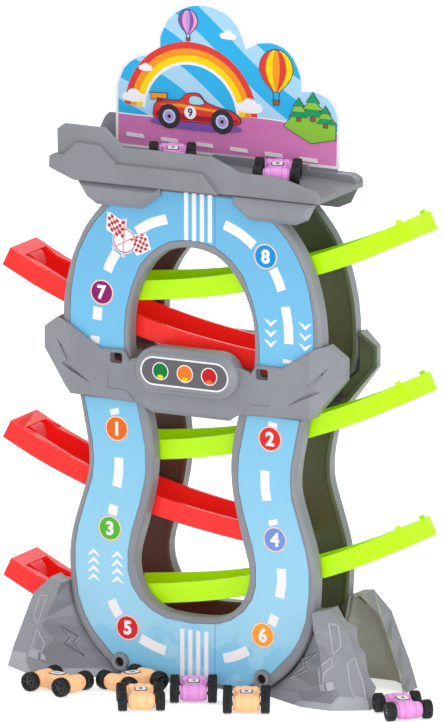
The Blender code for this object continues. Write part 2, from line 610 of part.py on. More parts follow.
class Channel:
    """The bottom and rim lines of one channel, as (distance from the high end, drop)."""

    def __init__(self, name, high_z):
        self.name = name
        self.red = name.startswith("red")
        self.table, self.high_x, self.to_high = kind(name)
        self.high_z = high_z
        self.length = self.table[-1][0]
        self.end_wall = RED_END_WALL if self.red else GREEN_END_WALL
        line = smooth(self.table, 2)
        self.below = [(d, drop(line, d)) for d in self.steps()]
        self.above = [self.over(k) for k in range(TRACK_STEPS + 1)]
        self.above[-1] = (self.length, self.above[-1][1])

    def steps(self):
        return [self.length * k / TRACK_STEPS for k in range(TRACK_STEPS + 1)]

    def over(self, k):
        """The rim's point square above a point of the bottom line."""
        before, after = self.below[max(k - 1, 0)], self.below[min(k + 1, TRACK_STEPS)]
        slope = (after[1] - before[1]) / (after[0] - before[0])
        size = math.hypot(1.0, slope)
        d, z = self.below[k]
        return d + slope / size * TRACK_HIGH, z - TRACK_HIGH / size

    def between(self, part):
        """A line at a share of the channel's height."""
        pairs = zip(self.below, self.above)
        return [(p[0] + (q[0] - p[0]) * part, p[1] + (q[1] - p[1]) * part) for p, q in pairs]

    def place(self, point, y):
        d, z = point
        return self.high_x - self.to_high * d, y, self.high_z - z

    def block(self):
        half = TRACK_HALF
        outline = self.below + self.above[::-1]
        return loft(self.name, [[self.place(p, y) for p in outline] for y in (-half, half)])

    def hollow(self):
        """The space between the walls, which leaves the high end closed."""
        half = TRACK_HALF - TRACK_WALL
        past = self.length + 5.0
        lines = []
        for line in (self.between(TRACK_FLOOR / TRACK_HIGH), self.between(1.5)):
            start = line[0][0] + self.end_wall
            inner = [p for p in line if p[0] > start + 0.5]
            lines.append([(start, drop(line, start))] + inner + [(past, line[-1][1])])
        outline = lines[0] + lines[1][::-1]
        return loft("hollow", [[self.place(p, y) for p in outline] for y in (-half, half)])

    def nose(self):
        """The pointed hump that stands in front of a red channel's end wall."""
        points = []
        for reach, half, sink in ((-2.0, 9.0, 0.25), (4.0, 7.4, 1.4), (9.0, 4.0, 4.6), (10.6, 0.0, 6.0)):
            for y in (-half, half):
                for depth in (sink, TRACK_HIGH - 1.0):
                    lean = (TRACK_HIGH - depth) / TRACK_HIGH
                    d = self.end_wall + reach + (depth - sink) * 0.25 + lean * 5.2
                    z = drop(self.below, self.end_wall + reach) - (TRACK_HIGH - depth) * 0.93
                    points.append(self.place((d, z), y))
        return hull("nose", points)

    def ledge(self, sign):
        """The thick rim that tapers along a red channel's wall."""
        half = TRACK_HALF - TRACK_WALL
        rows = []
        for d, reach in ((self.end_wall - 1.0, 1.2), (20.0, 4.6), (46.0, 1.6), (58.0, 0.9)):
            slope = (drop(self.below, d + 4.0) - drop(self.below, d - 4.0)) / 8.0
            size = math.hypot(1.0, slope)
            rise, lean = TRACK_HIGH / size, slope / size * TRACK_HIGH
            base = drop(self.below, d)
            y0, y1 = sign * (half + 0.8), sign * (half - reach)
            rows.append([
                self.place((d + lean, base - rise + 0.02), y0), self.place((d + lean, base - rise + 0.02), y1),
                self.place((d + lean * 0.86, base - rise * 0.86), y1),
                self.place((d + lean * 0.6, base - rise * 0.6), y0),
            ])
        return loft("ledge", rows)

    def rib(self, sign):
        """The upright rib outside a green channel's end."""
        rows = []
        for part, reach in ((0.02, 1.1), (1.0, 1.1), (1.16, 0.6)):
            d = self.above[0][0] * part
            z = self.below[0][1] + (self.above[0][1] - self.below[0][1]) * part
            y0, y1 = sign * (TRACK_HALF - 1.4), sign * (TRACK_HALF + reach)
            corners = ((3.0, 1.35, y0), (3.4, 1.5, y1), (6.2, 2.8, y1), (6.6, 3.0, y0))
            rows.append([self.place((d + along, z + down), y) for along, down, y in corners])
        return loft("rib", rows)

    def solid(self, places):
        """The whole channel with its end trim and its pegs."""
        body = boolean(self.block(), self.hollow())
        if self.red:
            join(body, self.nose())
        for sign in (-1, 1):
            join(body, self.ledge(sign) if self.red else self.rib(sign))
        steps = [(TRACK_HALF - 1.0, 0.0), (PEG_REACH - 0.6, 0.0), (PEG_REACH, 0.6)]
        for x, z in places:
            for sign in (-1, 1):
                join(body, levels("peg", rounded(x, z, PEG, PEG, 0.8, 2), steps, sign))
        return body


def floor_height(x):
    """The deck's floor over its underside."""
    return FLOOR_AT_MIDDLE - FLOOR_SLOPE * x


def deck(deck_z):
    """The launch tray: a sloping floor, stepped side walls, and a slot for the board."""
    half, wall = DECK_HALF, DECK_WALL
    rail = [(half, 0.0), (half + wall - 0.8, 0.0), (half + wall, 0.8)]
    layer = [(half + wall - 1.0, 0.0), (half + wall + 2.2, 0.0), (half + wall + 3.0, 0.8)]
    tray = levels("deck", raised(FRONT_RAIL, deck_z), rail, -1)
    join(tray, levels("layer", raised(FRONT_LAYER, deck_z), layer, -1))
    join(tray, levels("back", raised(BACK_RAIL, deck_z), rail, 1))
    left, right = floor_height(DECK_LEFT), floor_height(DECK_RIGHT)
    section = [
        (DECK_TUCK_X, 0.0), (DECK_LEFT, FRONT_RAIL[1][1]), (DECK_LEFT, left), (DECK_RIGHT, right), (DECK_RIGHT, 0.0),
    ]
    floor = across("floor", raised(section, deck_z), half + 1.0)
    low, in_left, in_right = -2.0, DECK_TUCK_X + 2.0, DECK_RIGHT - DECK_SKIN
    below = [(in_left, low), (in_left, left - DECK_SKIN), (in_right, right - DECK_SKIN), (in_right, low)]
    boolean(floor, across("below", raised(below, deck_z), half - 1.0))
    join(tray, floor)
    base = SILL_TOP - 3.0
    end = [(DECK_LEFT, base), (DECK_LEFT, END_TOP), (DECK_LEFT + 3.0, END_TOP), (DECK_LEFT + 3.0, base)]
    join(tray, across("end", raised(end, deck_z), half + 1.0))
    sill = [(-88.4, base), (-88.4, SILL_TOP), (91.0, SILL_TOP), (95.4, base + 0.4), (95.4, base - 4.0)]
    join(tray, slab("sill", raised(sill, deck_z), SILL_Y, half + 1.0, 1))
    clip = [(-15.0, SILL_TOP - 1.0), (-12.0, CLIP_TOP), (59.0, CLIP_TOP), (59.6, SILL_TOP - 1.0)]
    join(tray, slab("clip", raised(clip, deck_z), SILL_Y, BOARD_FRONT - 0.4, 1))
    stand = [(-80.0, SILL_TOP - 2.0), (-80.0, STAND_TOP), (79.0, STAND_TOP), (79.0, SILL_TOP - 2.0)]
    return join(tray, slab("stand", raised(stand, deck_z), BOARD_FRONT - 0.6, BOARD_BACK + 0.4, 1))


def board(deck_z):
    """The card that stands on the deck, with a cloud-shaped top."""
    runs = smooth(BOARD_LEFT) + smooth(BOARD_CROWN) + smooth(BOARD_SHOULDER) + smooth(BOARD_RIGHT)
    loop = [(BOARD_FOOT_X[0], BOARD_GAP)] + runs + [(BOARD_FOOT_X[1], BOARD_GAP)]
    return slab("backdrop_board", raised(loop, deck_z + STAND_TOP), BOARD_FRONT, BOARD_BACK, 1)


def turned(name, profile, steps, along_x=0.0):
    """Turns a profile of (along, radius) round an axis parallel to Y; both ends lie on the axis."""
    points, faces = [], []
    count = len(profile)
    for k in range(steps):
        angle = 2 * math.pi * k / steps
        for along, radius in profile:
            points.append((along_x + radius * math.sin(angle), along, radius * math.cos(angle)))
    for k in range(steps):
        n = (k + 1) % steps
        for i in range(count - 1):
            faces.append([k * count + i, k * count + i + 1, n * count + i + 1, n * count + i])
    return mesh_object(name, points, faces)


def wheelset(name):
    """Two wheels on one axle, about the local Y axis."""
    outside = (WHEEL_TRACK + WHEEL_W) / 2
    inside = (WHEEL_TRACK - WHEEL_W) / 2
    half = [
        (outside - HUB_SINK, 0.0), (outside - HUB_SINK, HUB_R), (outside, HUB_R + 0.7), (outside, WHEEL_R - 0.7),
        (outside - 0.7, WHEEL_R), (inside + 0.6, WHEEL_R), (inside, WHEEL_R - 0.6), (inside, AXLE_R),
    ]
    return turned(name, half + [(-along, radius) for along, radius in reversed(half)], 12)


def car_body(name):
    """A body that is the same above and below, along the local X axis, with the axle bores across."""
    half = BODY_W / 2
    near, far = half - 2.6, half - 0.8
    reach = WHEELBASE / 2 - 1.0
    waist_line = [(-reach, far), (-reach / 2, near), (reach / 2, near), (reach, far)]
    outline = [(x, -y) for x, y in waist_line] + waist_line[::-1]
    body = loft(name, [[(x, y, z) for x, y in outline] for z in (-SPINE_HALF, SPINE_HALF)])
    shoulder = [
        (half, 0.0), (half, BARREL_R - 0.9), (half - 0.9, BARREL_R), (3.6, BARREL_R), (2.8, BARREL_R - 1.0),
    ]
    profile = [(-along, radius) for along, radius in shoulder] + shoulder[::-1]
    for end in (-1, 1):
        join(body, turned("barrel", profile, 12, end * WHEELBASE / 2))
    for up in (-1, 1):
        rows = ((3.6, 0.0), (PAD_TOP - 0.4, 0.0), (PAD_TOP, 0.5))
        join(body, loft("pad", [
            [(x, y, up * z) for x, y in rounded(0.0, 0.0, 5.6 - by, 4.4 - by, 2.4 - 0.6 * by, 2)] for z, by in rows
        ]))
    past, radius = half + 4.0, AXLE_R + BORE_GAP
    bore = [(-past, 0.0), (-past, radius), (past, radius), (past, 0.0)]
    for end in (-1, 1):
        boolean(body, turned("bore", bore, 8, end * WHEELBASE / 2))
    return body


def car_frame(name, x, y, heading, deck_z):
    """Where a car's centre stands, on the deck's slope or on the ground."""
    spin = Matrix.Rotation(math.radians(heading), 4, "Z")
    if not name.startswith("deck"):
        return Matrix.Translation(Vector((x, y, WHEEL_R)) * MM) @ spin
    tilt = math.atan(FLOOR_SLOPE)
    rest = deck_z + floor_height(x) + (WHEEL_R + 0.3) / math.cos(tilt)
    return Matrix.Translation(Vector((x, y, rest)) * MM) @ Matrix.Rotation(tilt, 4, "Y") @ spin


def build_cars(deck_z):
    body = car_body("body_master")
    wheels = wheelset("wheels_master")
    for name, x, y, heading, colour in CARS:
        frame = car_frame(name, x, y, heading, deck_z)
        reach = WHEELBASE / 2
        parts = (("body", body, 0.0, colour), ("front_wheels", wheels, reach, "black"))
        for word, master, along, finish in parts + (("rear_wheels", wheels, -reach, "black"),):
            obj = link(f"{name}_{word}", master.data.copy())
            obj.matrix_world = frame @ Matrix.Translation(Vector((along, 0.0, 0.0)) * MM)
            paint(obj, finish)
    for master in (body, wheels):
        bpy.data.objects.remove(master, do_unlink=True)


def build_wall(label, side, pegs, deck_z):
    """One figure-of-eight wall with its skins, belt, legs and corbels."""
    top = deck_z - RING_UNDER_DECK
    upper_places = pegs["green_track_top"] + pegs["red_track_top"][:1]
    lower_names = ("green_track_mid", "green_track_low", "red_track_mid", "red_track_low")
    lower_places = [place for name in lower_names for place in pegs[name]]
    upper_skin = [mirrored(fit_height(line, top)) for line in (UPPER_STICKER_OUTER, UPPER_STICKER_INNER)]
    lower_skin = [mirrored(line) for line in (LOWER_STICKER_OUTER, LOWER_STICKER_INNER)]
    upper_lines = [mirrored(fit_height(smooth(line), top)) for line in (UPPER_OUTER, UPPER_OPENING)]
    lower_lines = [mirrored(smooth(line)) for line in (LOWER_OUTER, LOWER_OPENING)]
    upper = ring_shell(f"{label}_upper_ring", *upper_lines, *upper_skin, upper_places, side)
    for turn in (-1, 1):
        boolean(upper, slab("hole", belt_hole(turn, 0.6), FLANGE - 2.0, FACE + 2.0, side))
    lower = ring_shell(f"{label}_lower_ring", *lower_lines, *lower_skin, lower_places, side)
    add_foot_sockets(lower, side)
    pieces = [upper, lower, waist(f"{label}_waist", side)]
    for word, turn, outline in (("left", -1, LEFT_BRACKET), ("right", 1, RIGHT_BRACKET)):
        pieces.append(foot(f"{label}_foot_{word}", side, turn))
        pieces.append(bracket(f"{label}_bracket_{word}", outline, side, deck_z))
    for piece in pieces:
        paint(piece, "grey")
    past = 120.0
    spans = (("left", -past, SEAM_X - SEAM_GAP / 2), ("right", SEAM_X + SEAM_GAP / 2, past))
    for word, left, right in spans:
        paint(sticker(f"{label}_upper_sticker_{word}", *upper_skin, left, right, side), "print")
        paint(sticker(f"{label}_lower_sticker_{word}", *lower_skin, left, right, side), "print")
    paint(lamp_label(f"{label}_lamp_label", side), "dark_print")


def stand_on_origin():
    """Moves everything so that the middle of the whole model's base is the origin."""
    bpy.context.view_layer.update()
    corners = [obj.matrix_world @ v.co for obj in bpy.data.objects for v in obj.data.vertices]
    shift = Vector([-(min(c[i] for c in corners) + max(c[i] for c in corners)) / 2 for i in (0, 1)] + [0.0])
    shift.z = -min(c.z for c in corners)
    for obj in bpy.data.objects:
        obj.matrix_world = Matrix.Translation(shift) @ obj.matrix_world


def build():
    clear()
    heights = channel_heights()
    pegs = peg_places(heights)
    deck_z = heights["green_track_top"] + DECK_GAP
    for label, side in (("front", -1), ("back", 1)):
        build_wall(label, side, pegs, deck_z)
    paint(deck(deck_z), "dark_grey")
    paint(board(deck_z), "card")
    for name, height in heights.items():
        paint(Channel(name, height).solid(pegs[name]), "red" if name.startswith("red") else "green")
    build_cars(deck_z)
    stand_on_origin()


build()
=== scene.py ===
"""Looks for the ramp-racer tower: plastics, prints, the cars and legs in detail, the studio and the camera.

Places are given in the tower's own millimetres: X right, Y back, Z up, with the tower's middle at X = Y = 0.
"""

import json
import math

import bmesh
import bpy
from mathutils import Matrix, Vector
from mathutils.bvhtree import BVHTree


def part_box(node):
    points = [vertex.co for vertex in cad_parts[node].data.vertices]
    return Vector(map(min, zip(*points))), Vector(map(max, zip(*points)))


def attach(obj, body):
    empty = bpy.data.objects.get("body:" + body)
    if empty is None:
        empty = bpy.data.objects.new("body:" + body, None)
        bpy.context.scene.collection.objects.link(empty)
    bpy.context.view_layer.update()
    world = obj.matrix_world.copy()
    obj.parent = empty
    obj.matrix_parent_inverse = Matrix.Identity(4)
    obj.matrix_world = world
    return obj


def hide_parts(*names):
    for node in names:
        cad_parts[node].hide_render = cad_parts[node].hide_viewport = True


MM = 0.001
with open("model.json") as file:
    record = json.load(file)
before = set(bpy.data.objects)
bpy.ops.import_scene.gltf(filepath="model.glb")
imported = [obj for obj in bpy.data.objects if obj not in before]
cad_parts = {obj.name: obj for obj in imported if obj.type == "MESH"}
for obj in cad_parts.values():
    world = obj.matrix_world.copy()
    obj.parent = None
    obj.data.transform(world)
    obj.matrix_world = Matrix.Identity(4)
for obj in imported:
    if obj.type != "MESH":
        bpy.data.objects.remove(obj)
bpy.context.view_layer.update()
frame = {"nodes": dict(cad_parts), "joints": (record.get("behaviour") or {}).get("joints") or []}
NODES = frame["nodes"]

# The tower's middle in the row frame, from the two waist belts
belt_front, belt_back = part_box("front_waist"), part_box("back_waist")
TOWER = Vector((
    (belt_front[0].x + belt_front[1].x) / 2,
    (belt_front[0].y + belt_back[1].y) / 2,
    0.0,
))

# Depths of the printed skins, outwards from the middle plane, and how thick and how far sunk an ink is
SKIN_FACE = 29.8
LABEL_FACE = 40.2
SOCKET_FACE = 29.1
INK = 0.03
SUNK = 0.05

# Camera of the photograph
AZIMUTH, ELEVATION = 27.4, 12.8
AIM = (6.6, 0.0, 217.4)
DISTANCE = 12.0
CLIP_END = 100.0
SENSOR, LENS = 36.0, 897.5
PHOTO_WIDTH, PHOTO_HEIGHT = 442, 722
PIXEL = SENSOR / LENS / PHOTO_HEIGHT


def at(x, y, z):
    return TOWER + Vector((x, y, z)) * MM


def linear(code):
    """Scene-linear colour from a six-digit sRGB code."""
    out = []
    for i in (0, 2, 4):
        v = int(code[i:i + 2], 16) / 255
        out.append(v / 12.92 if v <= 0.04045 else ((v + 0.055) / 1.055) ** 2.4)
    return (*out, 1.0)


def tinted(colour, by):
    return tuple(min(1.0, c * by) for c in colour[:3]) + (1.0,)


def turns(steps):
    """Even angles once round."""
    return [2 * math.pi * k / steps for k in range(steps)]


def sides(outline):
    """The sides of a closed outline, as pairs of points."""
    return list(zip(outline, outline[1:] + outline[:1]))


def oval(x, z, rx, rz, steps=32):
    return [(x + rx * math.cos(t), z + rz * math.sin(t)) for t in turns(steps)]


# Noises in the plastics: how fine they are, per metre, and the heights of grain and waves, in metres
MOTTLE_SCALE, SHEEN_SCALE, GRAIN_SCALE, WAVE_SCALE = 28.0, 160.0, 5200.0, 22.0
GRAIN_HEIGHT, WAVE_HEIGHT = 0.00003, 0.0006


class Shader:
    """A small helper that builds a Principled material out of nodes."""

    def __init__(self, name, colour, roughness=0.4, specular=0.5, coat=0.0, coat_roughness=0.1):
        self.material = bpy.data.materials.new(name)
        self.material.use_nodes = True
        self.tree = self.material.node_tree
        self.main = self.tree.nodes["Principled BSDF"]
        for key, value in (
            ("Base Color", colour), ("Roughness", roughness), ("Specular IOR Level", specular),
            ("Coat Weight", coat), ("Coat Roughness", coat_roughness),
        ):
            self.main.inputs[key].default_value = value
        self.place = self.node("ShaderNodeTexCoord").outputs["Object"]

    def node(self, kind, **values):
        made = self.tree.nodes.new(kind)
        for key, value in values.items():
            setattr(made, key, value)
        return made

    def link(self, a, b):
        self.tree.links.new(a, b)

    def noise(self, scale, detail=2.0, rough=0.5, stretch=None):
        made = self.node("ShaderNodeTexNoise")
        made.inputs["Scale"].default_value = scale
        made.inputs["Detail"].default_value = detail
        made.inputs["Roughness"].default_value = rough
        source = self.place
        if stretch:
            mapping = self.node("ShaderNodeMapping")
            mapping.inputs["Scale"].default_value = stretch
            self.link(source, mapping.inputs["Vector"])
            source = mapping.outputs["Vector"]
        self.link(source, made.inputs["Vector"])
        return made.outputs["Fac"]

    def span(self, value, low, high, to_low=0.0, to_high=1.0):
        made = self.node("ShaderNodeMapRange")
        for key, number in (("From Min", low), ("From Max", high), ("To Min", to_low), ("To Max", to_high)):
            made.inputs[key].default_value = number
        self.link(value, made.inputs["Value"])
        return made.outputs["Result"]

    def math(self, operation, a, b=None):
        made = self.node("ShaderNodeMath", operation=operation)
        for socket, value in zip(made.inputs, (a, b)):
            if isinstance(value, (int, float)):
                socket.default_value = value
            elif value:
                self.link(value, socket)
        return made.outputs[0]

    def mix(self, factor, a, b):
        made = self.node("ShaderNodeMix", data_type="RGBA")
        sockets = (made.inputs[0], made.inputs[6], made.inputs[7])
        for socket, value in zip(sockets, (factor, a, b)):
            if isinstance(value, (int, float, tuple)):
                socket.default_value = value
            else:
                self.link(value, socket)
        return made.outputs[2]

    def axes(self, source=None):
        made = self.node("ShaderNodeSeparateXYZ")
        self.link(source or self.place, made.inputs["Vector"])
        return made.outputs

    def colour(self, value):
        self.link(value, self.main.inputs["Base Color"])

    def roughness(self, value):
        self.link(value, self.main.inputs["Roughness"])

    def bump(self, height, strength, distance):
        made = self.node("ShaderNodeBump")
        made.inputs["Strength"].default_value = strength
        made.inputs["Distance"].default_value = distance
        self.link(height, made.inputs["Height"])
        before = self.main.inputs["Normal"].links
        if before:
            self.link(before[0].from_socket, made.inputs["Normal"])
        self.link(made.outputs["Normal"], self.main.inputs["Normal"])

    def moulding(self, low, high, grain, wave, wave_scale, wave_height):
        """An uneven sheen, a fine grain, and the soft waves of a thin wall."""
        self.roughness(self.span(self.noise(SHEEN_SCALE, 4.0), 0.3, 0.7, low, high))
        self.bump(self.noise(GRAIN_SCALE, 1.0), grain, GRAIN_HEIGHT)
        self.bump(self.noise(wave_scale, 1.0), wave, wave_height)


def moulded(name, code, roughness, grain=0.25, mottle=0.04, wave=0.12, **more):
    """Moulded plastic with a slight mottle."""
    base = linear(code)
    s = Shader(name, base, roughness, **more)
    cloud = s.noise(MOTTLE_SCALE, 3.0)
    s.colour(s.mix(s.span(cloud, 0.35, 0.65), tinted(base, 1 - mottle), tinted(base, 1 + mottle)))
    s.moulding(roughness - 0.05, roughness + 0.06, grain, wave, WAVE_SCALE, WAVE_HEIGHT)
    return s


def glow(s, code, strength):
    """Painted glow: light given off in a colour, standing in for light let through a thin wall."""
    s.main.inputs["Emission Color"].default_value = linear(code)
    s.main.inputs["Emission Strength"].default_value = strength


def shell_grey():
    """Grey shells, with painted shade on the inner walls, tinted with painted red bounce light on the left
    and painted green bounce light on the right.
    """
    s = Shader("grey_shell", linear("8F9097"), 0.42)
    cloud = s.noise(26.0, 3.0)
    outside = s.mix(s.span(cloud, 0.35, 0.65), linear("83848B"), linear("8A8B92"))
    x, y, z = s.axes()
    depth = s.math("ABSOLUTE", s.math("SUBTRACT", y, TOWER.y))
    facing = s.axes(s.node("ShaderNodeNewGeometry").outputs["True Normal"])[1]
    towards = s.math("MULTIPLY", s.math("SIGN", s.math("SUBTRACT", y, TOWER.y)), facing)
    inward = s.span(towards, -0.75, -0.25, 1.0, 0.0)
    buried = s.span(depth, 0.0277, 0.0283, 1.0, 0.0)
    # Painted shade: inward-facing walls behind the face are made dark, with red and green bounce light
    # painted in
    hidden = s.math("MULTIPLY", inward, buried)
    bounce_side = s.span(x, TOWER.x - 0.02, TOWER.x + 0.03)
    inner = s.mix(bounce_side, linear("644640"), linear("6B6F5A"))
    s.colour(s.mix(hidden, outside, inner))
    s.moulding(0.36, 0.48, 0.25, 0.12, 20.0, 0.0008)
    return s.material


def road_film(name, top, bottom, low, high, patches):
    """Printed film: a soft fade, darker clouds low down where it has patches, and the creases of a film."""
    s = Shader(name, linear(top), 0.34, 0.25, coat=0.06, coat_roughness=0.2)
    x, y, z = s.axes()
    fade = s.span(z, low * MM, high * MM)
    colour = s.mix(fade, linear(bottom), linear(top))
    if patches:
        cloud = s.noise(42.0, 3.0, 0.6)
        near_foot = s.span(z, 0.016, 0.058, 1.0, 0.0)
        thick = s.math("ADD", cloud, s.math("MULTIPLY", near_foot, 0.2))
        mask = s.math("MULTIPLY", s.span(thick, 0.55, 0.62), near_foot)
        colour = s.mix(s.math("MULTIPLY", mask, 0.8), colour, linear("79C0E6"))
    s.colour(colour)
    crease = s.span(s.noise(55.0, 6.0, 0.7, (1.0, 1.0, 0.35)), 0.62, 0.7)
    s.bump(crease, 0.05, 0.0003)
    s.bump(s.noise(30.0, 2.0), 0.05, 0.0008)
    s.roughness(s.span(s.noise(80.0, 3.0), 0.3, 0.7, 0.28, 0.38))
    return s.material


def ink(name, code, roughness=0.4):
    """Printed ink with a very slight tooth."""
    base = linear(code)
    s = Shader(name, base, roughness, 0.2)
    s.colour(s.mix(s.noise(60.0, 3.0), tinted(base, 0.97), base))
    s.bump(s.noise(900.0, 2.0), 0.04, 0.00005)
    return s.material


def board_picture():
    """The printed sky, with light curved bands, over rolling mauve ground."""
    s = Shader("board_picture", linear("29B0E6"), 0.4, 0.25, coat=0.05, coat_roughness=0.2)
    x, y, z = s.axes()
    across = s.math("SUBTRACT", x, TOWER.x)
    slow = s.math("SINE", s.math("MULTIPLY", across, 42.0))
    lean = s.math("ADD", s.math("MULTIPLY", z, 190.0), s.math("MULTIPLY", across, 120.0))
    wave = s.math("SINE", s.math("ADD", lean, s.math("MULTIPLY", slow, 1.1)))
    sky = s.mix(s.span(wave, 0.12, 0.16), linear("29B0E6"), linear("A9D6F0"))
    hill = s.math("MULTIPLY", s.math("SINE", s.math("ADD", s.math("MULTIPLY", across, 34.0), 0.9)), 0.0035)
    over = s.math("SUBTRACT", z, s.math("ADD", hill, 0.3755))
    verge = s.mix(s.span(over, 0.0009, 0.001), linear("F4F2F6"), sky)
    fade = s.span(z, 0.350, 0.374)
    ground = s.mix(fade, linear("E58BC6"), linear("CF74B2"))
    s.colour(s.mix(s.span(over, 0.0, 0.0001), ground, verge))
    s.bump(s.noise(300.0, 2.0), 0.03, 0.0001)
    return s.material


MATERIALS = {}

# Painted light: the green's end block, beyond this x in metres from the middle, is paler where the light from
# the right falls on it
GREEN_END_LIT, GREEN_END_X = "CBFA5A", 0.1613
# Bright plastics: colour, and the strength of their painted glow
BRIGHTS = {
    "green": ("B9F400", 0.1),
    "red": ("FC2A26", 0.1),
    "orange_car": ("FFC691", 0.1),
    "purple_car": ("E296D8", 0.06),
}
# Greys of the legs' facets and lines, for painted shade, painted light, painted highlights on ridges and
# painted shade in grooves: colour, roughness, and what differs from plain plastic
LEG_GREYS = {
    "grey_shade": ("7B7B82", 0.42, {"mottle": 0.02}),
    "grey_painted_light": ("A3A4AB", 0.4, {"mottle": 0.02}),
    "grey_ridge_highlight": ("B4B5BB", 0.35, {"mottle": 0.01, "specular": 0.6}),
    "grey_groove_shade": ("58585F", 0.5, {"mottle": 0.01}),
}
INKS = {
    "orange": "EA6A1C", "scarlet": "DE2A28", "leaf": "55B52B", "periwinkle": "7A93D6", "ruby": "D8242C",
    "amber": "FAA132", "plum": "8B1768", "azure": "0B90D6", "ring": "F2B48C", "flag_red": "C4272D",
    "flag_pink": "E2888C", "lamp_green": "007A34", "lamp_amber": "EE7A1C", "lamp_red": "C81420",
    "lamp_spot": "F6D515", "lamp_ember": "EE7420", "outline": "3A2A38", "bore": "2B1D1B", "sunny": "FFD800",
    "tangerine": "F59A22", "cherry": "E23C34", "wine": "A5222B", "mint": "8CC63E", "pine": "139A62",
    "lilac": "B69AD8", "violet": "7E57A8", "rose": "EFA0CF", "sky_light": "BFE2F6", "rubber": "3B3338",
    "bark": "8A5A3A", "glass": "A9DDF0", "snow": "F6F4F8",
}


def material(name):
    return MATERIALS[name]


def make_materials():
    MATERIALS["grey"] = shell_grey()
    MATERIALS["deck"] = moulded("grey_deck", "86878C", 0.45, specular=0.35).material
    for name, (code, strength) in BRIGHTS.items():
        made = moulded(f"{name}_plastic", code, 0.26, 0.08, 0.01, 0.04, specular=0.3)
        if name == "green":
            # Painted light on the green's end block
            start = TOWER.x + GREEN_END_X
            lit_end = made.span(made.axes()[0], start, start + 0.0003)
            made.colour(made.mix(lit_end, linear(code), linear(GREEN_END_LIT)))
        # Painted glow in the plastic's own colour
        glow(made, code, strength)
        MATERIALS[name] = made.material
    for name, (code, roughness, more) in LEG_GREYS.items():
        MATERIALS[name] = moulded(name, code, roughness, **more).material
    # Painted light: the legs' inner walls get a paler beige with a painted glow
    inside = moulded("leg_inside_painted_light", "A8A69C", 0.5, mottle=0.03)
    glow(inside, "A8A69C", 0.12)
    MATERIALS["leg_inside_painted_light"] = inside.material
    MATERIALS["tyre"] = moulded("tyre_black", "0D0D0E", 0.5, 0.5, 0.1, 0.03, specular=0.35).material
    MATERIALS["hub"] = moulded("hub_black", "161618", 0.28, 0.1, 0.05, 0.02, specular=0.55).material
    MATERIALS["board_art"] = board_picture()
    MATERIALS["upper_film"] = road_film("upper_film", "6BB4DC", "76C0E6", 225.0, 330.0, False)
    MATERIALS["lower_film"] = road_film("lower_film", "80C3E4", "9DD3EC", 60.0, 185.0, True)
    MATERIALS["label"] = ink("label_grey", "646265")
    MATERIALS["white"] = ink("white_ink", "F4F2F4")
    for name, code in INKS.items():
        MATERIALS[name] = ink(name + "_ink", code)


FLOOR_RADIUS, FLOOR_STEPS = 8.0, 96
FLOOR_GLOW = 0.52
SKY_STRENGTH = 0.58

# Softboxes: place, aim height, size and power
SOFTBOXES = {
    "top_box": ((0.1, -0.1, 1.6), 0.1, (1.6, 1.6), 9.0),
    "right_box": ((1.5, -0.35, 0.6), 0.2, (1.0, 1.2), 8.0),
    "front_box": ((0.7, -1.6, 0.35), 0.2, (1.6, 0.7), 9.0),
    "left_box": ((-1.5, -0.6, 0.5), 0.2, (1.0, 1.0), 5.0),
    "back_box": ((-0.4, 1.7, 0.9), 0.2, (1.4, 1.0), 5.0),
}


def placed(name, data):
    """A new object in the scene."""
    obj = bpy.data.objects.new(name, data)
    bpy.context.scene.collection.objects.link(obj)
    return obj


def studio():
    """A wide white floor, soft boxes, and an even sky."""
    ground = bpy.data.meshes.new("floor")
    rim = [(x, y, 0.0) for x, y in oval(0.0, 0.0, FLOOR_RADIUS, FLOOR_RADIUS, FLOOR_STEPS)]
    ground.from_pydata(rim, [], [tuple(range(FLOOR_STEPS))])
    floor = placed("floor", ground)
    s = Shader("floor_white", (0.9, 0.9, 0.9, 1.0), 0.7, 0.2)
    path = s.node("ShaderNodeLightPath")
    seen = s.math("MAXIMUM", path.outputs["Is Camera Ray"], path.outputs["Is Glossy Ray"])
    s.main.inputs["Emission Color"].default_value = (1.0, 1.0, 1.0, 1.0)
    s.link(s.math("MULTIPLY", seen, FLOOR_GLOW), s.main.inputs["Emission Strength"])
    ground.materials.append(s.material)

    world = bpy.data.worlds.new("sky")
    world.use_nodes = True
    bpy.context.scene.world = world
    tree = world.node_tree
    for n in list(tree.nodes):
        tree.nodes.remove(n)
    out = tree.nodes.new("ShaderNodeOutputWorld")
    even, shown = tree.nodes.new("ShaderNodeBackground"), tree.nodes.new("ShaderNodeBackground")
    choose = tree.nodes.new("ShaderNodeMixShader")
    even.inputs["Color"].default_value = (0.93, 0.96, 1.0, 1.0)
    even.inputs["Strength"].default_value = SKY_STRENGTH
    shown.inputs["Strength"].default_value = 1.0
    path = tree.nodes.new("ShaderNodeLightPath")
    tree.links.new(path.outputs["Is Camera Ray"], choose.inputs[0])
    tree.links.new(even.outputs[0], choose.inputs[1])
    tree.links.new(shown.outputs[0], choose.inputs[2])
    tree.links.new(choose.outputs[0], out.inputs["Surface"])

    for name, (place, aim_height, size, power) in SOFTBOXES.items():
        data = bpy.data.lights.new(name, "AREA")
        data.shape = "RECTANGLE"
        data.size, data.size_y = size
        data.energy = power
        lamp = placed(name, data)
        lamp.location = place
        aim = Vector((0.0, 0.0, aim_height))
        lamp.rotation_euler = (aim - Vector(place)).to_track_quat("-Z", "Y").to_euler()


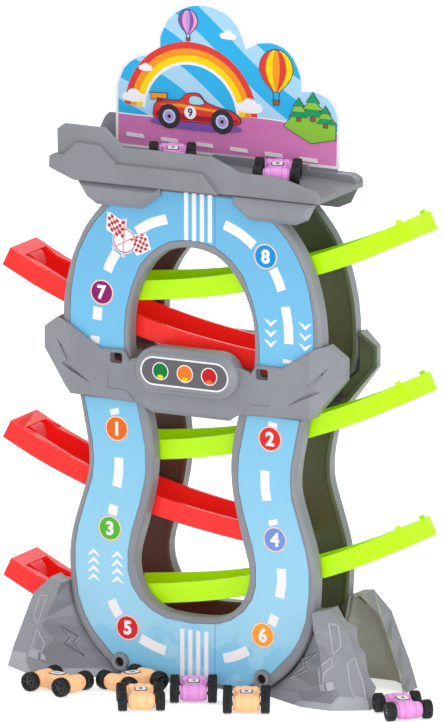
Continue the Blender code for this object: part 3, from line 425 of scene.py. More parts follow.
def photo_camera():
    data = bpy.data.cameras.new("camera")
    camera = placed("camera", data)
    a, e = math.radians(AZIMUTH), math.radians(ELEVATION)
    back = Vector((math.sin(a) * math.cos(e), -math.cos(a) * math.cos(e), math.sin(e)))
    camera.location = at(*AIM) + back * DISTANCE
    camera.rotation_euler = back.to_track_quat("Z", "Y").to_euler()
    data.sensor_fit = "VERTICAL"
    data.sensor_width = data.sensor_height = SENSOR
    data.lens = LENS
    data.clip_end = CLIP_END
    bpy.context.scene.camera = camera


def add_piece(name, mesh, body, slot=None, matrix=None):
    obj = placed(name, mesh)
    if matrix:
        obj.matrix_world = matrix
    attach(obj, body)
    return obj


FLAT_ANGLE = math.radians(0.6)
WELD = 0.00001


def round_edges(obj, width, limit=25.0, segments=2, miter="MITER_ARC"):
    """Rounds the edges that turn by more than a limit."""
    for p in obj.data.polygons:
        p.use_smooth = True
    edge = obj.modifiers.new("edge", "BEVEL")
    edge.width = width * MM
    edge.segments = segments
    edge.limit_method = "ANGLE"
    edge.angle_limit = math.radians(limit)
    edge.miter_outer = miter
    edge.harden_normals = True
    shade = obj.modifiers.new("shade", "WEIGHTED_NORMAL")
    shade.weight = 100


def soften(obj, *edge):
    """Rounds a carried-over part's edges, after its triangles are joined up into whole faces."""
    weld = obj.modifiers.new("weld", "WELD")
    weld.merge_threshold = WELD
    flat = obj.modifiers.new("flat", "DECIMATE")
    flat.decimate_type = "DISSOLVE"
    flat.angle_limit = FLAT_ANGLE
    round_edges(obj, *edge)


CAR_NAMES = [f"floor_car_{k}" for k in range(1, 7)] + ["deck_car_1", "deck_car_2"]
PURPLE_CARS = ("floor_car_4", "floor_car_6", "deck_car_1", "deck_car_2")

# The first word found in a node's name gives its finish, and its edges' width, angle, segments and miter
NODE_FINISHES = {
    "wheels": ("tyre",),
    "body": ("orange_car",),
    "upper_sticker": ("upper_film",),
    "lower_sticker": ("lower_film",),
    "label": ("label",),
    "green": ("green", 0.8),
    "red": ("red", 1.1, 25.0, 3),
    "deck": ("deck", 0.9, 20.0),
    "back_upper_ring": ("grey", 0.5, 18.0, 2, "MITER_SHARP"),
    "ring": ("grey", 0.5, 18.0),
    "waist": ("grey", 0.25, 12.0),
    "foot": ("grey", 0.5, 6.0),
    "bracket": ("grey", 0.6, 15.0),
    "board": ("white",),
}


def car_colour(name):
    return "purple_car" if name in PURPLE_CARS else "orange_car"


def dress_nodes():
    for name, obj in NODES.items():
        word = next(w for w in NODE_FINISHES if w in name)
        finish, *edge = NODE_FINISHES[word]
        if word == "body":
            finish = car_colour(name.removesuffix("_body"))
        obj.data.materials.clear()
        obj.data.materials.append(material(finish))
        if edge:
            soften(obj, *edge)


def flat_number(words, size, bold, fineness):
    """A number as a flat mesh, from Blender's own plain face."""
    curve = bpy.data.curves.new("number", "FONT")
    curve.body, curve.size, curve.offset = words, size, bold
    curve.align_x = curve.align_y = "CENTER"
    curve.resolution_u = fineness
    curve.fill_mode = "FRONT"
    holder = placed("number", curve)
    graph = bpy.context.evaluated_depsgraph_get()
    glyph = bmesh.new()
    glyph.from_mesh(bpy.data.meshes.new_from_object(holder.evaluated_get(graph)))
    bpy.data.objects.remove(holder, do_unlink=True)
    return glyph


def add_number(work, glyph, over, under, index):
    """Makes a flat number solid; over and under give the two places of each of its points."""
    top = {v: work.verts.new(over(v.co)) for v in glyph.verts}
    low = {v: work.verts.new(under(v.co)) for v in glyph.verts}
    for f in glyph.faces:
        work.faces.new([top[v] for v in f.verts]).material_index = index
        work.faces.new([low[v] for v in reversed(f.verts)]).material_index = index
    for e in glyph.edges:
        if len(e.link_faces) == 1:
            a, b = e.verts
            work.faces.new((top[a], top[b], low[b], low[a])).material_index = index
    glyph.free()


def mesh_of(work, name, finishes):
    """A mesh from a bmesh, with its finishes."""
    mesh = bpy.data.meshes.new(name)
    work.to_mesh(mesh)
    work.free()
    for finish in finishes:
        mesh.materials.append(material(finish))
    return mesh


class Solid:
    """Closed shells gathered into one mesh, each with its own finish."""

    def __init__(self):
        self.work = bmesh.new()
        self.finishes = []

    def index(self, finish):
        if finish not in self.finishes:
            self.finishes.append(finish)
        return self.finishes.index(finish)

    def join(self, rows, finish, ring=False):
        """Joins rows of equal length; a ring also joins the last to the first, and has no caps."""
        rows = [[self.work.verts.new(place) for place in row] for row in rows]
        pairs = sides(rows) if ring else list(zip(rows, rows[1:]))
        faces = []
        for low, high in pairs:
            for (a, b), (d, c) in zip(sides(low), sides(high)):
                faces.append(self.work.faces.new((a, b, c, d)))
        if not ring:
            faces += [self.work.faces.new(rows[0][::-1]), self.work.faces.new(rows[-1])]
        for face in faces:
            face.material_index = self.index(finish)

    def mesh(self, name):
        bmesh.ops.recalc_face_normals(self.work, faces=self.work.faces)
        return mesh_of(self.work, name, self.finishes)


class Print(Solid):
    """Thin printed shapes on an upright plane, gathered into one piece."""

    def __init__(self, name, depth, side, body="tower", slot=None, turned=True):
        super().__init__()
        self.name, self.depth, self.side, self.turned = name, depth, side, turned
        self.body, self.slot = body, slot

    def place(self, x, z, depth):
        """The back's print is the front's turned half round, so that its numbers still read."""
        turn = -1 if self.side > 0 and self.turned else 1
        return at(turn * x, self.side * depth, z)

    def shape(self, points, ink_name, layer=1):
        """A filled outline, a hair thicker than the layer below it."""
        depths = (self.depth - SUNK, self.depth + INK * layer)
        self.join([[self.place(x, z, depth) for x, z in points] for depth in depths], ink_name)

    def disc(self, x, z, radius, ink_name, layer=1):
        self.shape(oval(x, z, radius, radius, 40), ink_name, layer)

    def text(self, words, x, z, size, ink_name, layer, bold):
        """A number; at the back of a print that isn't turned its face is mirrored, its hidden face isn't."""
        glyph = flat_number(words, size, bold, 4)
        bmesh.ops.remove_doubles(glyph, verts=glyph.verts, dist=0.001)
        xs = [v.co.x for v in glyph.verts]
        ys = [v.co.y for v in glyph.verts]
        middle = Vector(((min(xs) + max(xs)) / 2, (min(ys) + max(ys)) / 2, 0.0))
        mirror = -1 if self.side > 0 and not self.turned else 1

        def over(co):
            p = co - middle
            return self.place(x + mirror * p.x, z + p.y, self.depth + INK * layer)

        def under(co):
            p = co - middle
            return self.place(x + p.x, z + p.y, self.depth - SUNK)

        add_number(self.work, glyph, over, under, self.index(ink_name))

    def finish(self):
        add_piece(self.name, self.mesh(self.name), self.body, self.slot)


def band(points, width, steps=6):
    """A strip of even width along a curve through a few points, as one outline."""
    line = curve_through(points, steps)
    left, right = [], []
    for i, p in enumerate(line):
        a, b = Vector(line[max(i - 1, 0)]), Vector(line[min(i + 1, len(line) - 1)])
        run = (b - a).normalized()
        across = Vector((-run.y, run.x)) * width / 2
        left.append(tuple(Vector(p) + across))
        right.append(tuple(Vector(p) - across))
    return left + right[::-1]


def curve_through(points, steps, closed=False):
    """A smooth line, or a smooth closed outline, through a few points."""
    count, last = len(points), len(points) - 1
    out = []
    for i in range(count if closed else last):
        near = [k % count if closed else min(max(k, 0), last) for k in range(i - 1, i + 3)]
        p0, p1, p2, p3 = (Vector(points[k]) for k in near)
        for k in range(steps):
            t = k / steps
            out.append(tuple(0.5 * (
                2 * p1 + (p2 - p0) * t + (2 * p0 - 5 * p1 + 4 * p2 - p3) * t * t
                + (3 * p1 - p0 - 3 * p2 + p3) * t ** 3
            )))
    return out if closed else out + [tuple(points[-1])]


# Numbered discs: number, x, z, ink
UPPER_DISCS = [("7", -67.4, 262.7, "plum"), ("8", 55.3, 299.5, "azure")]
LOWER_DISCS = [
    ("1", -56.3, 170.6, "orange"), ("2", 58.7, 175.7, "scarlet"), ("3", -61.6, 101.7, "leaf"),
    ("4", 62.4, 107.4, "periwinkle"), ("5", -48.3, 34.8, "ruby"), ("6", 53.4, 41.0, "amber"),
]
DISC_R = 8.8
NUMBER_SIZE, NUMBER_BOLD = 12.6, 0.5

# White lane dashes, each a centre line of two or more points
UPPER_DASHES = [
    [(-70.4, 252.3), (-71.0, 243.5)],
    [(-72.4, 232.3), (-72.8, 227.6)],
    [(-63.2, 277.5), (-60.2, 284.5), (-56.2, 291.0)],
    [(-41.2, 306.6), (-30.8, 313.2), (-18.6, 317.5)],
    [(24.6, 318.0), (36.4, 313.2), (46.7, 306.1)],
    [(60.9, 291.6), (64.6, 284.6), (67.3, 277.4)],
    [(70.0, 266.9), (72.2, 254.6), (72.7, 241.8)],
    [(72.1, 231.0), (71.8, 228.4)],
]
LOWER_DASHES = [
    [(-58.5, 184.0), (-57.3, 180.2)],
    [(-54.8, 150.9), (-54.9, 140.6), (-56.4, 130.8)],
    [(-58.6, 118.0), (-59.9, 111.0)],
    [(61.0, 187.1), (60.4, 183.0)],
    [(55.0, 153.7), (55.0, 143.8), (56.4, 133.3)],
    [(60.5, 120.7), (61.6, 117.1)],
    [(67.2, 88.0), (67.4, 78.0), (65.8, 68.0)],
    [(62.6, 55.4), (59.9, 48.5)],
    [(42.2, 29.4), (33.6, 24.8), (24.0, 21.7)],
    [(-60.5, 52.6), (-58.0, 47.4), (-54.5, 42.3)],
    [(-38.6, 28.6), (-29.6, 24.9), (-19.7, 22.0)],
]
DASH_WIDTH = 6.8


STRIPES, STRIPE_SHARE = 4, 0.52


def crosswalk(print_on, left, right, low, high):
    pitch = (right - left) / (STRIPES - 0.25)
    width = pitch * STRIPE_SHARE
    for k in range(STRIPES):
        x = left + k * pitch
        print_on.shape([(x, low), (x + width, low), (x + width, high), (x, high)], "white")


CHEVRON_HALF, CHEVRON_ARM, CHEVRON_FALL = 5.0, 2.7, 5.2


def chevrons(print_on, columns, tips, up):
    """Small V marks in columns, up or down as 1 or -1."""
    half, arm, fall = CHEVRON_HALF, up * CHEVRON_ARM, up * CHEVRON_FALL
    for x in columns:
        for z in tips:
            print_on.shape([
                (x, z), (x + half, z - fall), (x + half * 0.42, z - fall * 0.86), (x, z - arm),
                (x - half * 0.42, z - fall * 0.86), (x - half, z - fall),
            ], "white")


def numbered(print_on, discs):
    for number, x, z, ink_name in discs:
        for layer, (trim, name) in enumerate(((0.0, "ring"), (0.55, "white"), (1.0, ink_name)), 2):
            print_on.disc(x, z, DISC_R - trim, name, layer)
        print_on.text(number, x, z, NUMBER_SIZE, "white", 5, NUMBER_BOLD)


FLAG_ROWS, FLAG_COLUMNS = 5, 6
FLAG_BORDER = 1.1


def checkered_flag(print_on, root, tip, out, down, layer):
    """A waving flag in red and white squares, between its pole and its free end."""
    root, out, down = Vector(root), Vector(out), Vector(down)
    across = Vector((-out.y, out.x)).normalized()

    def point(u, v):
        wave = math.sin(u * math.pi * 1.7) * tip
        return tuple(root + out * u + down * v + across * wave)

    edge = [point(k / 10, 0.0) for k in range(11)] + [point(1.0, k / 4) for k in range(1, 5)]
    edge += [point(1 - k / 10, 1.0) for k in range(1, 11)] + [point(0.0, 1 - k / 4) for k in range(1, 4)]
    middle = sum((Vector(p) for p in edge), Vector((0.0, 0.0))) / len(edge)
    border = [tuple(Vector(p) + (Vector(p) - middle).normalized() * FLAG_BORDER) for p in edge]
    print_on.shape(border, "white", layer)
    for i in range(FLAG_COLUMNS):
        for j in range(i % 2, FLAG_ROWS, 2):
            u0, u1, v0, v1 = i / FLAG_COLUMNS, (i + 1) / FLAG_COLUMNS, j / FLAG_ROWS, (j + 1) / FLAG_ROWS
            top = [point(u0 + (u1 - u0) * k / 3, v0) for k in range(4)]
            low = [point(u1 - (u1 - u0) * k / 3, v1) for k in range(4)]
            print_on.shape(top + low, "flag_red", 8)


EMBLEM_R, EMBLEM_STEPS = 8.3, 48
FLAG_POLES = (((0.6, 15.4), (-1.2, -11.6)), ((-9.4, -5.6), (16.0, 7.2)))


def flags_emblem(print_on, x, z):
    """A ring with two crossed checkered flags."""
    print_on.disc(x, z, EMBLEM_R + 0.7, "white", 2)
    ring = oval(x, z, EMBLEM_R, EMBLEM_R, EMBLEM_STEPS)
    inner = [(x + (px - x) * 0.93, z + (pz - z) * 0.93) for px, pz in ring]
    for k in range(EMBLEM_STEPS):
        j = (k + 1) % EMBLEM_STEPS
        print_on.shape([ring[k], ring[j], inner[j], inner[k]], "flag_red", 7)
    for k, ends in enumerate(FLAG_POLES):
        pole = [tuple(Vector((x, z)) + Vector(end)) for end in ends]
        print_on.shape(band(pole, 2.4, 2), "white", 3 + k)
        print_on.shape(band(pole, 0.6, 2), "flag_pink", 9 + k)
    checkered_flag(print_on, (x + 0.2, z + 13.6), 1.1, (-12.6, 3.2), (-0.4, -11.4), 5)
    checkered_flag(print_on, (x + 13.2, z + 6.4), 1.0, (6.8, -9.2), (-9.6, -5.0), 6)


# The lamps' panel in the belt, as half width and corner, and each lamp's x, glow and lit spot
LAMP_Z = 215.8
LAMP_BORDER, LAMP_PANEL = (33.1, 9.9), (31.9, 8.7)
LAMP_RING_R, LAMP_R = 6.1, 5.4
LAMPS = [
    (-18.0, "lamp_green", "lamp_spot"),
    (0.4, "lamp_amber", "lamp_spot"),
    (18.6, "lamp_red", "lamp_ember"),
]
# Painted shade: dark discs in the bores at the foot of each wall
SOCKET_X, SOCKET_Z, SOCKET_R = 53.4, 11.2, 3.3


def road_prints():
    for label, side in (("front", -1), ("back", 1)):
        upper = Print(f"{label}_upper_print", SKIN_FACE, side, slot="road_print")
        for line in UPPER_DASHES:
            upper.shape(band(line, DASH_WIDTH), "white")
        crosswalk(upper, -5.6, 16.6, 304.6, 337.0)
        chevrons(upper, (59.2, 84.9), (252.2, 245.0, 238.0), -1)
        numbered(upper, UPPER_DISCS)
        flags_emblem(upper, -50.3, 299.6)
        upper.finish()
        lower = Print(f"{label}_lower_print", SKIN_FACE, side, slot="road_print")
        for line in LOWER_DASHES:
            lower.shape(band(line, DASH_WIDTH), "white")
        crosswalk(lower, -8.6, 13.9, 6.0, 38.6)
        chevrons(lower, (-73.8, -56.0), (86.7, 81.0, 75.3, 69.7), 1)
        numbered(lower, LOWER_DISCS)
        lower.finish()
        # Painted shade in the sockets' bores
        sockets = Print(f"{label}_socket_shade", SOCKET_FACE, side)
        for x in (-SOCKET_X, SOCKET_X):
            sockets.disc(x, SOCKET_Z, SOCKET_R, "bore")
        sockets.finish()
        lamps = Print(f"{label}_lamp_print", LABEL_FACE, side, slot="lamp_print")
        lamps.shape(slot_outline(LAMP_Z, *LAMP_BORDER), "white", 1)
        lamps.shape(slot_outline(LAMP_Z, *LAMP_PANEL), "label", 2)
        for x, glowing, spot in LAMPS:
            lamps.disc(x, LAMP_Z + 0.2, LAMP_RING_R, "white", 3)
            lamps.disc(x, LAMP_Z + 0.2, LAMP_R, glowing, 4)
            lamps.shape(oval(x, LAMP_Z - 3.6, 2.3, 1.4, 20), spot, 5)
        lamps.finish()


def slot_outline(z, half, radius, steps=16):
    out = []
    for side in (1, -1):
        for k in range(steps + 1):
            angle = side * math.radians(-90 + 180 * k / steps)
            out.append((side * (half - radius + radius * math.cos(angle)), z + radius * math.sin(angle)))
    return out


class Body(Solid):
    """A smooth solid in millimetres, round its own middle."""

    def loft(self, loops, finish, ring=False):
        self.join([[Vector(p) * MM for p in loop] for loop in loops], finish, ring)

    def lathe(self, profile, steps, finish, centre=(0.0, 0.0), shape=None):
        """Turns (along, radius) points round an axis along Y; both ends lie near the axis."""
        cx, cz = centre
        rings = []
        for along, radius in profile:
            reach = [shape(along, radius, k) if shape else radius for k in range(steps)]
            rings.append([
                (cx + r * math.sin(t), along, cz + r * math.cos(t)) for r, t in zip(reach, turns(steps))
            ])
        self.loft(rings, finish)

    def mesh(self, name, sharp=32.0):
        made = super().mesh(name)
        made.shade_smooth()
        made.set_sharp_from_angle(angle=math.radians(sharp))
        return made


def rounded_box(half_x, half_y, radius, per_corner=5):
    out = []
    for quarter, (sx, sy) in enumerate(((1, 1), (-1, 1), (-1, -1), (1, -1))):
        for k in range(per_corner + 1):
            angle = math.radians(90 * quarter + 90 * k / per_corner)
            x, y = radius * math.cos(angle), radius * math.sin(angle)
            out.append((sx * (half_x - radius) + x, sy * (half_y - radius) + y))
    return out


# Car sizes, as in the frame
AXLE_REACH = 13.0
TYRE_IN, TYRE_OUT, TYRE_R = 9.5, 15.7, 6.5
TYRE_MIDDLE = (TYRE_IN + TYRE_OUT) / 2
SHOULDER_R, TREAD_CUT, TREAD_GROOVE = 6.2, 0.5, 0.6
TREAD_STEPS = 48
SPOKES = 5


def tyre_shape(along, radius, k):
    """Cuts the blocks of the tread into the shoulders, staggered from side to side."""
    aside = abs(along) - TYRE_MIDDLE
    stagger = 2 if aside > 0 else 0
    if radius < SHOULDER_R or abs(aside) < TREAD_GROOVE or (k + stagger) % 4:
        return radius
    return radius - TREAD_CUT


def wheelset_mesh():
    shape = Body()
    middle, rim_in = TYRE_MIDDLE, TYRE_OUT - 1.3
    section = [
        (TYRE_IN, 1.2), (TYRE_IN, 5.4), (TYRE_IN + 0.3, 6.0), (TYRE_IN + 0.8, 6.35), (TYRE_IN + 1.3, TYRE_R),
        (middle - 0.35, TYRE_R), (middle - 0.2, 6.1), (middle + 0.2, 6.1), (middle + 0.35, TYRE_R),
        (rim_in, TYRE_R), (TYRE_OUT - 0.7, 6.35), (TYRE_OUT - 0.2, 5.9), (TYRE_OUT, 5.3),
        (TYRE_OUT - 0.05, 4.7), (TYRE_OUT - 0.5, 4.35), (TYRE_OUT - 1.2, 4.2), (rim_in, 1.0),
    ]
    shape.lathe([(-9.6, 1.15), (9.6, 1.15)], 20, "hub")
    for side in (-1, 1):
        shape.lathe([(side * a, r) for a, r in section], TREAD_STEPS, "tyre", shape=tyre_shape)
        lip = TYRE_OUT - 0.6
        rim = [(rim_in, 3.5), (lip, 3.7), (lip + 0.15, 4.0), (lip, 4.3), (rim_in, 4.3)]
        shape.loft([ring_points(side * a, r, 40) for a, r in rim], "hub", ring=True)
        cap = [(rim_in, 1.3), (TYRE_OUT - 0.5, 1.2), (TYRE_OUT - 0.3, 0.8)]
        shape.lathe([(side * a, r) for a, r in cap], 20, "hub")
        for angle in turns(SPOKES):
            spoke(shape, side, angle)
    return shape.mesh("wheelset")


def ring_points(along, radius, steps):
    return [(radius * math.sin(t), along, radius * math.cos(t)) for t in turns(steps)]


def spoke(shape, side, angle):
    """A tapered spoke from the hub cap to the rim."""
    low, high = TYRE_OUT - 1.3, TYRE_OUT - 0.55
    u = Vector((math.sin(angle), 0.0, math.cos(angle)))
    v = Vector((math.cos(angle), 0.0, -math.sin(angle)))
    rows = []
    for along, trim in ((low, 0.0), (high - 0.15, 0.0), (high, 0.16)):
        row = []
        for reach, half in ((0.8, 0.75), (3.8, 0.5)):
            for sign in (1, -1):
                p = u * reach + v * (half - trim) * (sign if reach < 2 else -sign)
                row.append((p.x, side * along, p.z))
        rows.append(row)
    shape.loft(rows, "hub")


def barrel_profile():
    """Half of a barrel, with a collar at its end and a panel line on each side of its middle."""
    half = [
        (9.0, 3.4), (8.95, 4.1), (8.6, 4.5), (7.7, 4.55), (7.3, 5.3), (6.9, 5.5), (4.0, 5.5), (3.85, 5.05),
        (3.4, 5.05), (3.25, 5.5), (2.2, 5.5), (2.0, 5.75), (0.5, 5.8),
    ]
    return [(-a, r) for a, r in half] + half[::-1]


# Half of the waist's outline, from one end to the other
WAIST = [(-11.5, 8.0), (-8.6, 7.4), (-6.0, 6.1), (0.0, 5.9), (6.0, 6.1), (8.6, 7.4), (11.5, 8.0)]
# The plaque's steps: half length, half width, corner, bottom, top, chamfer and ink
PLAQUE = (
    (6.4, 5.2, 2.4, 3.9, 5.2, 0.5, None),
    (5.4, 4.2, 2.2, 4.8, 5.6, 0.15, "outline"),
    (4.7, 3.5, 1.8, 5.0, 5.7, 0.05, "white"),
)
DIGIT_SIZE, DIGIT_BOLD = 5.4, 0.25
DIGIT_LOW, DIGIT_TOP = 5.4, 5.78


def racer_mesh(colour, number):
    """A body that is the same above and below: two barrels, a narrow waist and a plaque on each face."""
    shape = Body()
    for end in (-1, 1):
        shape.lathe(barrel_profile(), 40, colour, (end * AXLE_REACH, 0.0))
    waist = curve_through(WAIST, 3)
    outline = waist + [(x, -y) for x, y in reversed(waist)]
    rows = []
    for z, trim in ((-4.4, 0.8), (-4.15, 0.25), (-3.6, 0.0), (3.6, 0.0), (4.15, 0.25), (4.4, 0.8)):
        rows.append([(x, y - math.copysign(trim, y), z) for x, y in outline])
    shape.loft(rows, colour)
    for up in (-1, 1):
        for half_x, half_y, radius, low, high, trim, ink_name in PLAQUE:
            wall = rounded_box(half_x, half_y, radius)
            face = rounded_box(half_x - trim, half_y - trim, max(radius - trim, 0.4))
            rows = [[(x, y, up * z) for x, y in wall] for z in (low, high - trim)]
            shape.loft(rows + [[(x, y, up * high) for x, y in face]], ink_name or colour)
        digit(shape, number, up)
        for end in (-1, 1):
            scoop = [(end * 9.4 + x, y) for x, y in rounded_box(1.1, 2.6, 0.5, 2)]
            rows = [[(x, y, up * z) for x, y in scoop] for z in (3.6, 4.9)]
            rows.append([(x + end * 0.25, y * 0.86, up * 5.15) for x, y in scoop])
            shape.loft(rows, colour)
    return shape.mesh("racer_" + number)


def digit(shape, number, up):
    """A small plain number on the plaque."""
    def place(height):
        return lambda co: Vector((-co.y * up, co.x, up * height)) * MM

    glyph = flat_number(number, DIGIT_SIZE, DIGIT_BOLD, 3)
    add_number(shape.work, glyph, place(DIGIT_TOP), place(DIGIT_LOW), shape.index("outline"))


def middle_of(node):
    low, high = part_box(node)
    return (Vector(low) + Vector(high)) / 2


def joint_axis(name):
    joint = next(j for j in frame["joints"] if j["name"] == name)
    return Vector(joint["axis"]).normalized()


def racers():
    """Places each car's pieces on the axles that the frame gives."""
    wheels = wheelset_mesh()
    for k, name in enumerate(CAR_NAMES):
        front, rear = middle_of(f"{name}_front_wheels"), middle_of(f"{name}_rear_wheels")
        x_axis = (front - rear).normalized()
        y_axis = joint_axis(f"{name}_front_wheels_spin")
        z_axis = x_axis.cross(y_axis).normalized()
        turn = Matrix((x_axis, y_axis, z_axis)).transposed().to_4x4()
        colour = car_colour(name)
        mesh = racer_mesh(colour, str(k + 1))
        place = Matrix.Translation((front + rear) / 2) @ turn
        body = add_piece(f"{name}_shell", mesh, name, colour, place)
        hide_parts(f"{name}_body")
        for word, middle in (("front", front), ("rear", rear)):
            node = f"{name}_{word}_wheels"
            degrees = 17.0 * (k + 1) + (40.0 if word == "rear" else 0.0)
            roll = Matrix.Rotation(math.radians(degrees), 4, "Y")
            place = Matrix.Translation(middle) @ turn @ roll
            piece = add_piece(f"{node}_tyres", wheels, node, "car_wheel", place)
            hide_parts(node)


# The sleeve over a lamp housing, as depths and how far in from the housing's outline
BEZEL = (
    (33.4, -0.2), (37.0, -0.2), (37.7, 0.05), (38.2, 0.5), (38.5, 1.2), (38.7, 2.1), (39.1, 2.7), (39.8, 3.1),
    (40.35, 3.5), (40.55, 4.0), (40.5, 4.6), (40.3, 4.85), (39.0, 4.9), (34.0, 4.9),
)
HOUSING_HALF, HOUSING_CORNER = 38.0, 15.63


def lamp_bezels():
    """A softly rounded sleeve over each lamp housing."""
    for label, side in (("front", -1), ("back", 1)):
        shape = Body()
        loops = []
        for depth, by in BEZEL:
            outline = slot_outline(LAMP_Z, HOUSING_HALF - by, HOUSING_CORNER - by, 20)
            loops.append([(x, side * depth, z) for x, z in outline])
        shape.loft(loops, "grey", ring=True)
        mesh = shape.mesh(f"{label}_bezel", 50.0)
        add_piece(f"{label}_lamp_bezel", mesh, "tower", "grey_shell", Matrix.Translation(TOWER))


def node_outline(node):
    """The outline of a flat node's front face, in the tower's millimetres."""
    work = bmesh.new()
    work.from_mesh(NODES[node].data)
    bmesh.ops.remove_doubles(work, verts=work.verts, dist=1e-6)
    bmesh.ops.dissolve_limit(work, angle_limit=0.01, verts=work.verts, edges=work.edges)
    face = max((f for f in work.faces if f.normal.y < -0.9), key=lambda f: f.calc_area())
    out = [((v.co.x - TOWER.x) / MM, (v.co.z - TOWER.z) / MM) for v in face.verts]
    work.free()
    return out


def grown(points, by):
    """Moves a closed outline outwards by a distance, or inwards by a negative one."""
    area = sum(a[0] * b[1] - b[0] * a[1] for a, b in sides(points))
    turn = -1 if area > 0 else 1
    out = []
    for i, p in enumerate(points):
        a, b = Vector(points[i - 1]), Vector(points[(i + 1) % len(points)])
        one, two = (Vector(p) - a).normalized(), (b - Vector(p)).normalized()
        normal = Vector((-(one.y + two.y), one.x + two.x)) * turn
        if normal.length < 1e-6:
            normal = Vector((-one.y, one.x)) * turn
        normal.normalize()
        cos = max(0.55, normal.dot(Vector((-one.y, one.x)) * turn))
        out.append(tuple(Vector(p) + normal * by / cos))
    return out


PICTURE_STEP = 0.35


class Picture(Print):
    """A print whose every shape lies a hair above the one before."""

    def next_layer(self):
        self.count = getattr(self, "count", 0) + 1
        return PICTURE_STEP * self.count

    def shape(self, points, ink_name):
        super().shape(points, ink_name, self.next_layer())

    def text(self, words, x, z, size, ink_name, bold):
        super().text(words, x, z, size, ink_name, self.next_layer(), bold)


def motif(art, points, ink_name, line=0.4):
    """A printed shape with a thin dark outline."""
    art.shape(grown(points, line), "outline")
    art.shape(points, ink_name)


def cloud(art, x, z, size):
    """Three puffs on a flat base."""
    for dx, dz, r in ((-0.62, -0.05, 0.42), (0.0, 0.18, 0.56), (0.62, -0.02, 0.4)):
        art.shape(oval(x + dx * size, z + dz * size, r * size, r * size * 0.8), "snow")
    art.shape(oval(x, z - 0.18 * size, 1.0 * size, 0.26 * size), "snow")


def balloon(art, x, z, radius, inks):
    """A striped hot-air balloon with its basket."""
    half = []
    for k in range(13):
        t = math.pi * k / 12
        half.append((math.sin(t) * (1.0 if t < 1.6 else 1.0 - 0.42 * (t - 1.6) / 1.54), math.cos(t) * 1.12))
    skirt = [(w, h) for w, h in half if h > -1.06] + [(0.2, -1.16)]
    wide = [(w, h) for w, h in skirt if w > 0.01]
    outline = [(x + w * radius, z + h * radius) for w, h in skirt]
    outline += [(x - w * radius, z + h * radius) for w, h in reversed(wide)]
    art.shape(grown(outline, 0.45), "outline")
    shares = (-1.0, -0.62, -0.22, 0.22, 0.62, 1.0)
    for k, (a, b) in enumerate(zip(shares, shares[1:])):
        gore = [(x + a * w * radius, z + h * radius) for w, h in wide]
        gore += [(x + b * w * radius, z + h * radius) for w, h in reversed(wide)]
        art.shape(gore, inks[k % len(inks)])
    top, basket = z - 1.2 * radius, z - 1.62 * radius
    for side in (-1, 1):
        rope = [(x + side * 0.2 * radius, top), (x + side * 0.15 * radius, basket)]
        art.shape(band(rope, 0.35, 2), "outline")
    low = basket - 0.28 * radius
    box = [(-0.2, basket), (0.2, basket), (0.16, low), (-0.16, low)]
    motif(art, [(x + share * radius, height) for share, height in box], "bark", 0.3)


def rainbow(art, x, z, radii, inks):
    turn = [math.radians(4 + 172 * k / 40) for k in range(41)]
    for outer, inner, ink_name in zip(radii, radii[1:], inks):
        line = []
        for reach, order in ((outer, 1), (inner, -1)):
            line += [(x + reach * math.cos(t), z + reach * math.sin(t)) for t in turn][::order]
        art.shape(line, ink_name)


PINE_TIERS = ((0.55, 0.22, 0.75, "pine"), (0.44, 0.5, 1.0, "mint"), (0.3, 0.8, 1.22, "pine"))


def pine(art, x, z, size):
    half = 0.12 * size
    trunk = [(x - half, z), (x + half, z), (x + half, z + 0.3 * size), (x - half, z + 0.3 * size)]
    motif(art, trunk, "bark", 0.3)
    for half, low, high, ink_name in PINE_TIERS:
        tier = [(x - half * size, z + low * size), (x + half * size, z + low * size), (x, z + high * size)]
        motif(art, tier, ink_name, 0.3)


# The toy racing car on the board, seen from the side
RACER_WING = [(-33.0, 15.0), (-21.5, 16.6), (-21.5, 19.6), (-33.0, 19.0)]
RACER_STRUT = [(-29.0, 12.0), (-26.0, 12.0), (-25.2, 16.0), (-28.2, 16.0)]
RACER_BODY = [
    (-31.0, 6.5), (-29.5, 12.2), (-22.0, 15.0), (-12.0, 15.8), (-6.5, 20.6), (2.0, 21.2), (7.0, 16.4),
    (16.0, 13.6), (27.0, 11.6), (32.0, 8.0), (31.6, 4.4), (20.0, 2.6), (-20.0, 2.6), (-30.0, 3.4),
]
RACER_SILL = [(-30.2, 7.4), (31.0, 6.6), (31.2, 4.8), (20.0, 3.2), (-20.0, 3.2), (-29.6, 4.0)]
RACER_STRIPE = [(-27.0, 12.0), (-12.0, 13.8), (16.0, 12.0), (26.0, 10.4), (14.0, 10.4), (-12.0, 11.6)]
RACER_SCREEN = [(-4.6, 15.0), (-3.6, 19.2), (2.6, 19.4), (6.0, 15.4), (0.0, 14.2)]
RACER_WHEEL = ((8.2, "outline"), (7.6, "rubber"), (4.6, "sky_light"), (3.6, "lilac"), (1.3, "outline"))


def toy_racer(art, x, z, scale):
    """A plain open racing car seen from the side, with nobody in it."""
    def set_down(points):
        return [(x + px * scale, z + pz * scale) for px, pz in points]

    art.shape(set_down(oval(0.0, 0.4, 34.0, 3.6)), "violet")
    motif(art, set_down(RACER_WING), "tangerine")
    motif(art, set_down(RACER_STRUT), "wine")
    motif(art, set_down(curve_through(RACER_BODY, 4, True)), "cherry", 0.5)
    art.shape(set_down(RACER_SILL), "wine")
    art.shape(set_down(RACER_STRIPE), "tangerine")
    motif(art, set_down(curve_through(RACER_SCREEN, 4, True)), "glass")
    art.shape(set_down(oval(-4.0, 8.6, 4.4, 4.4)), "snow")
    art.text("9", x - 4.0 * scale, z + 8.6 * scale, 7.4 * scale, "outline", 0.2)
    for cx in (-19.5, 19.5):
        for radius, ink_name in RACER_WHEEL:
            art.shape(set_down(oval(cx, 4.6, radius, radius)), ink_name)


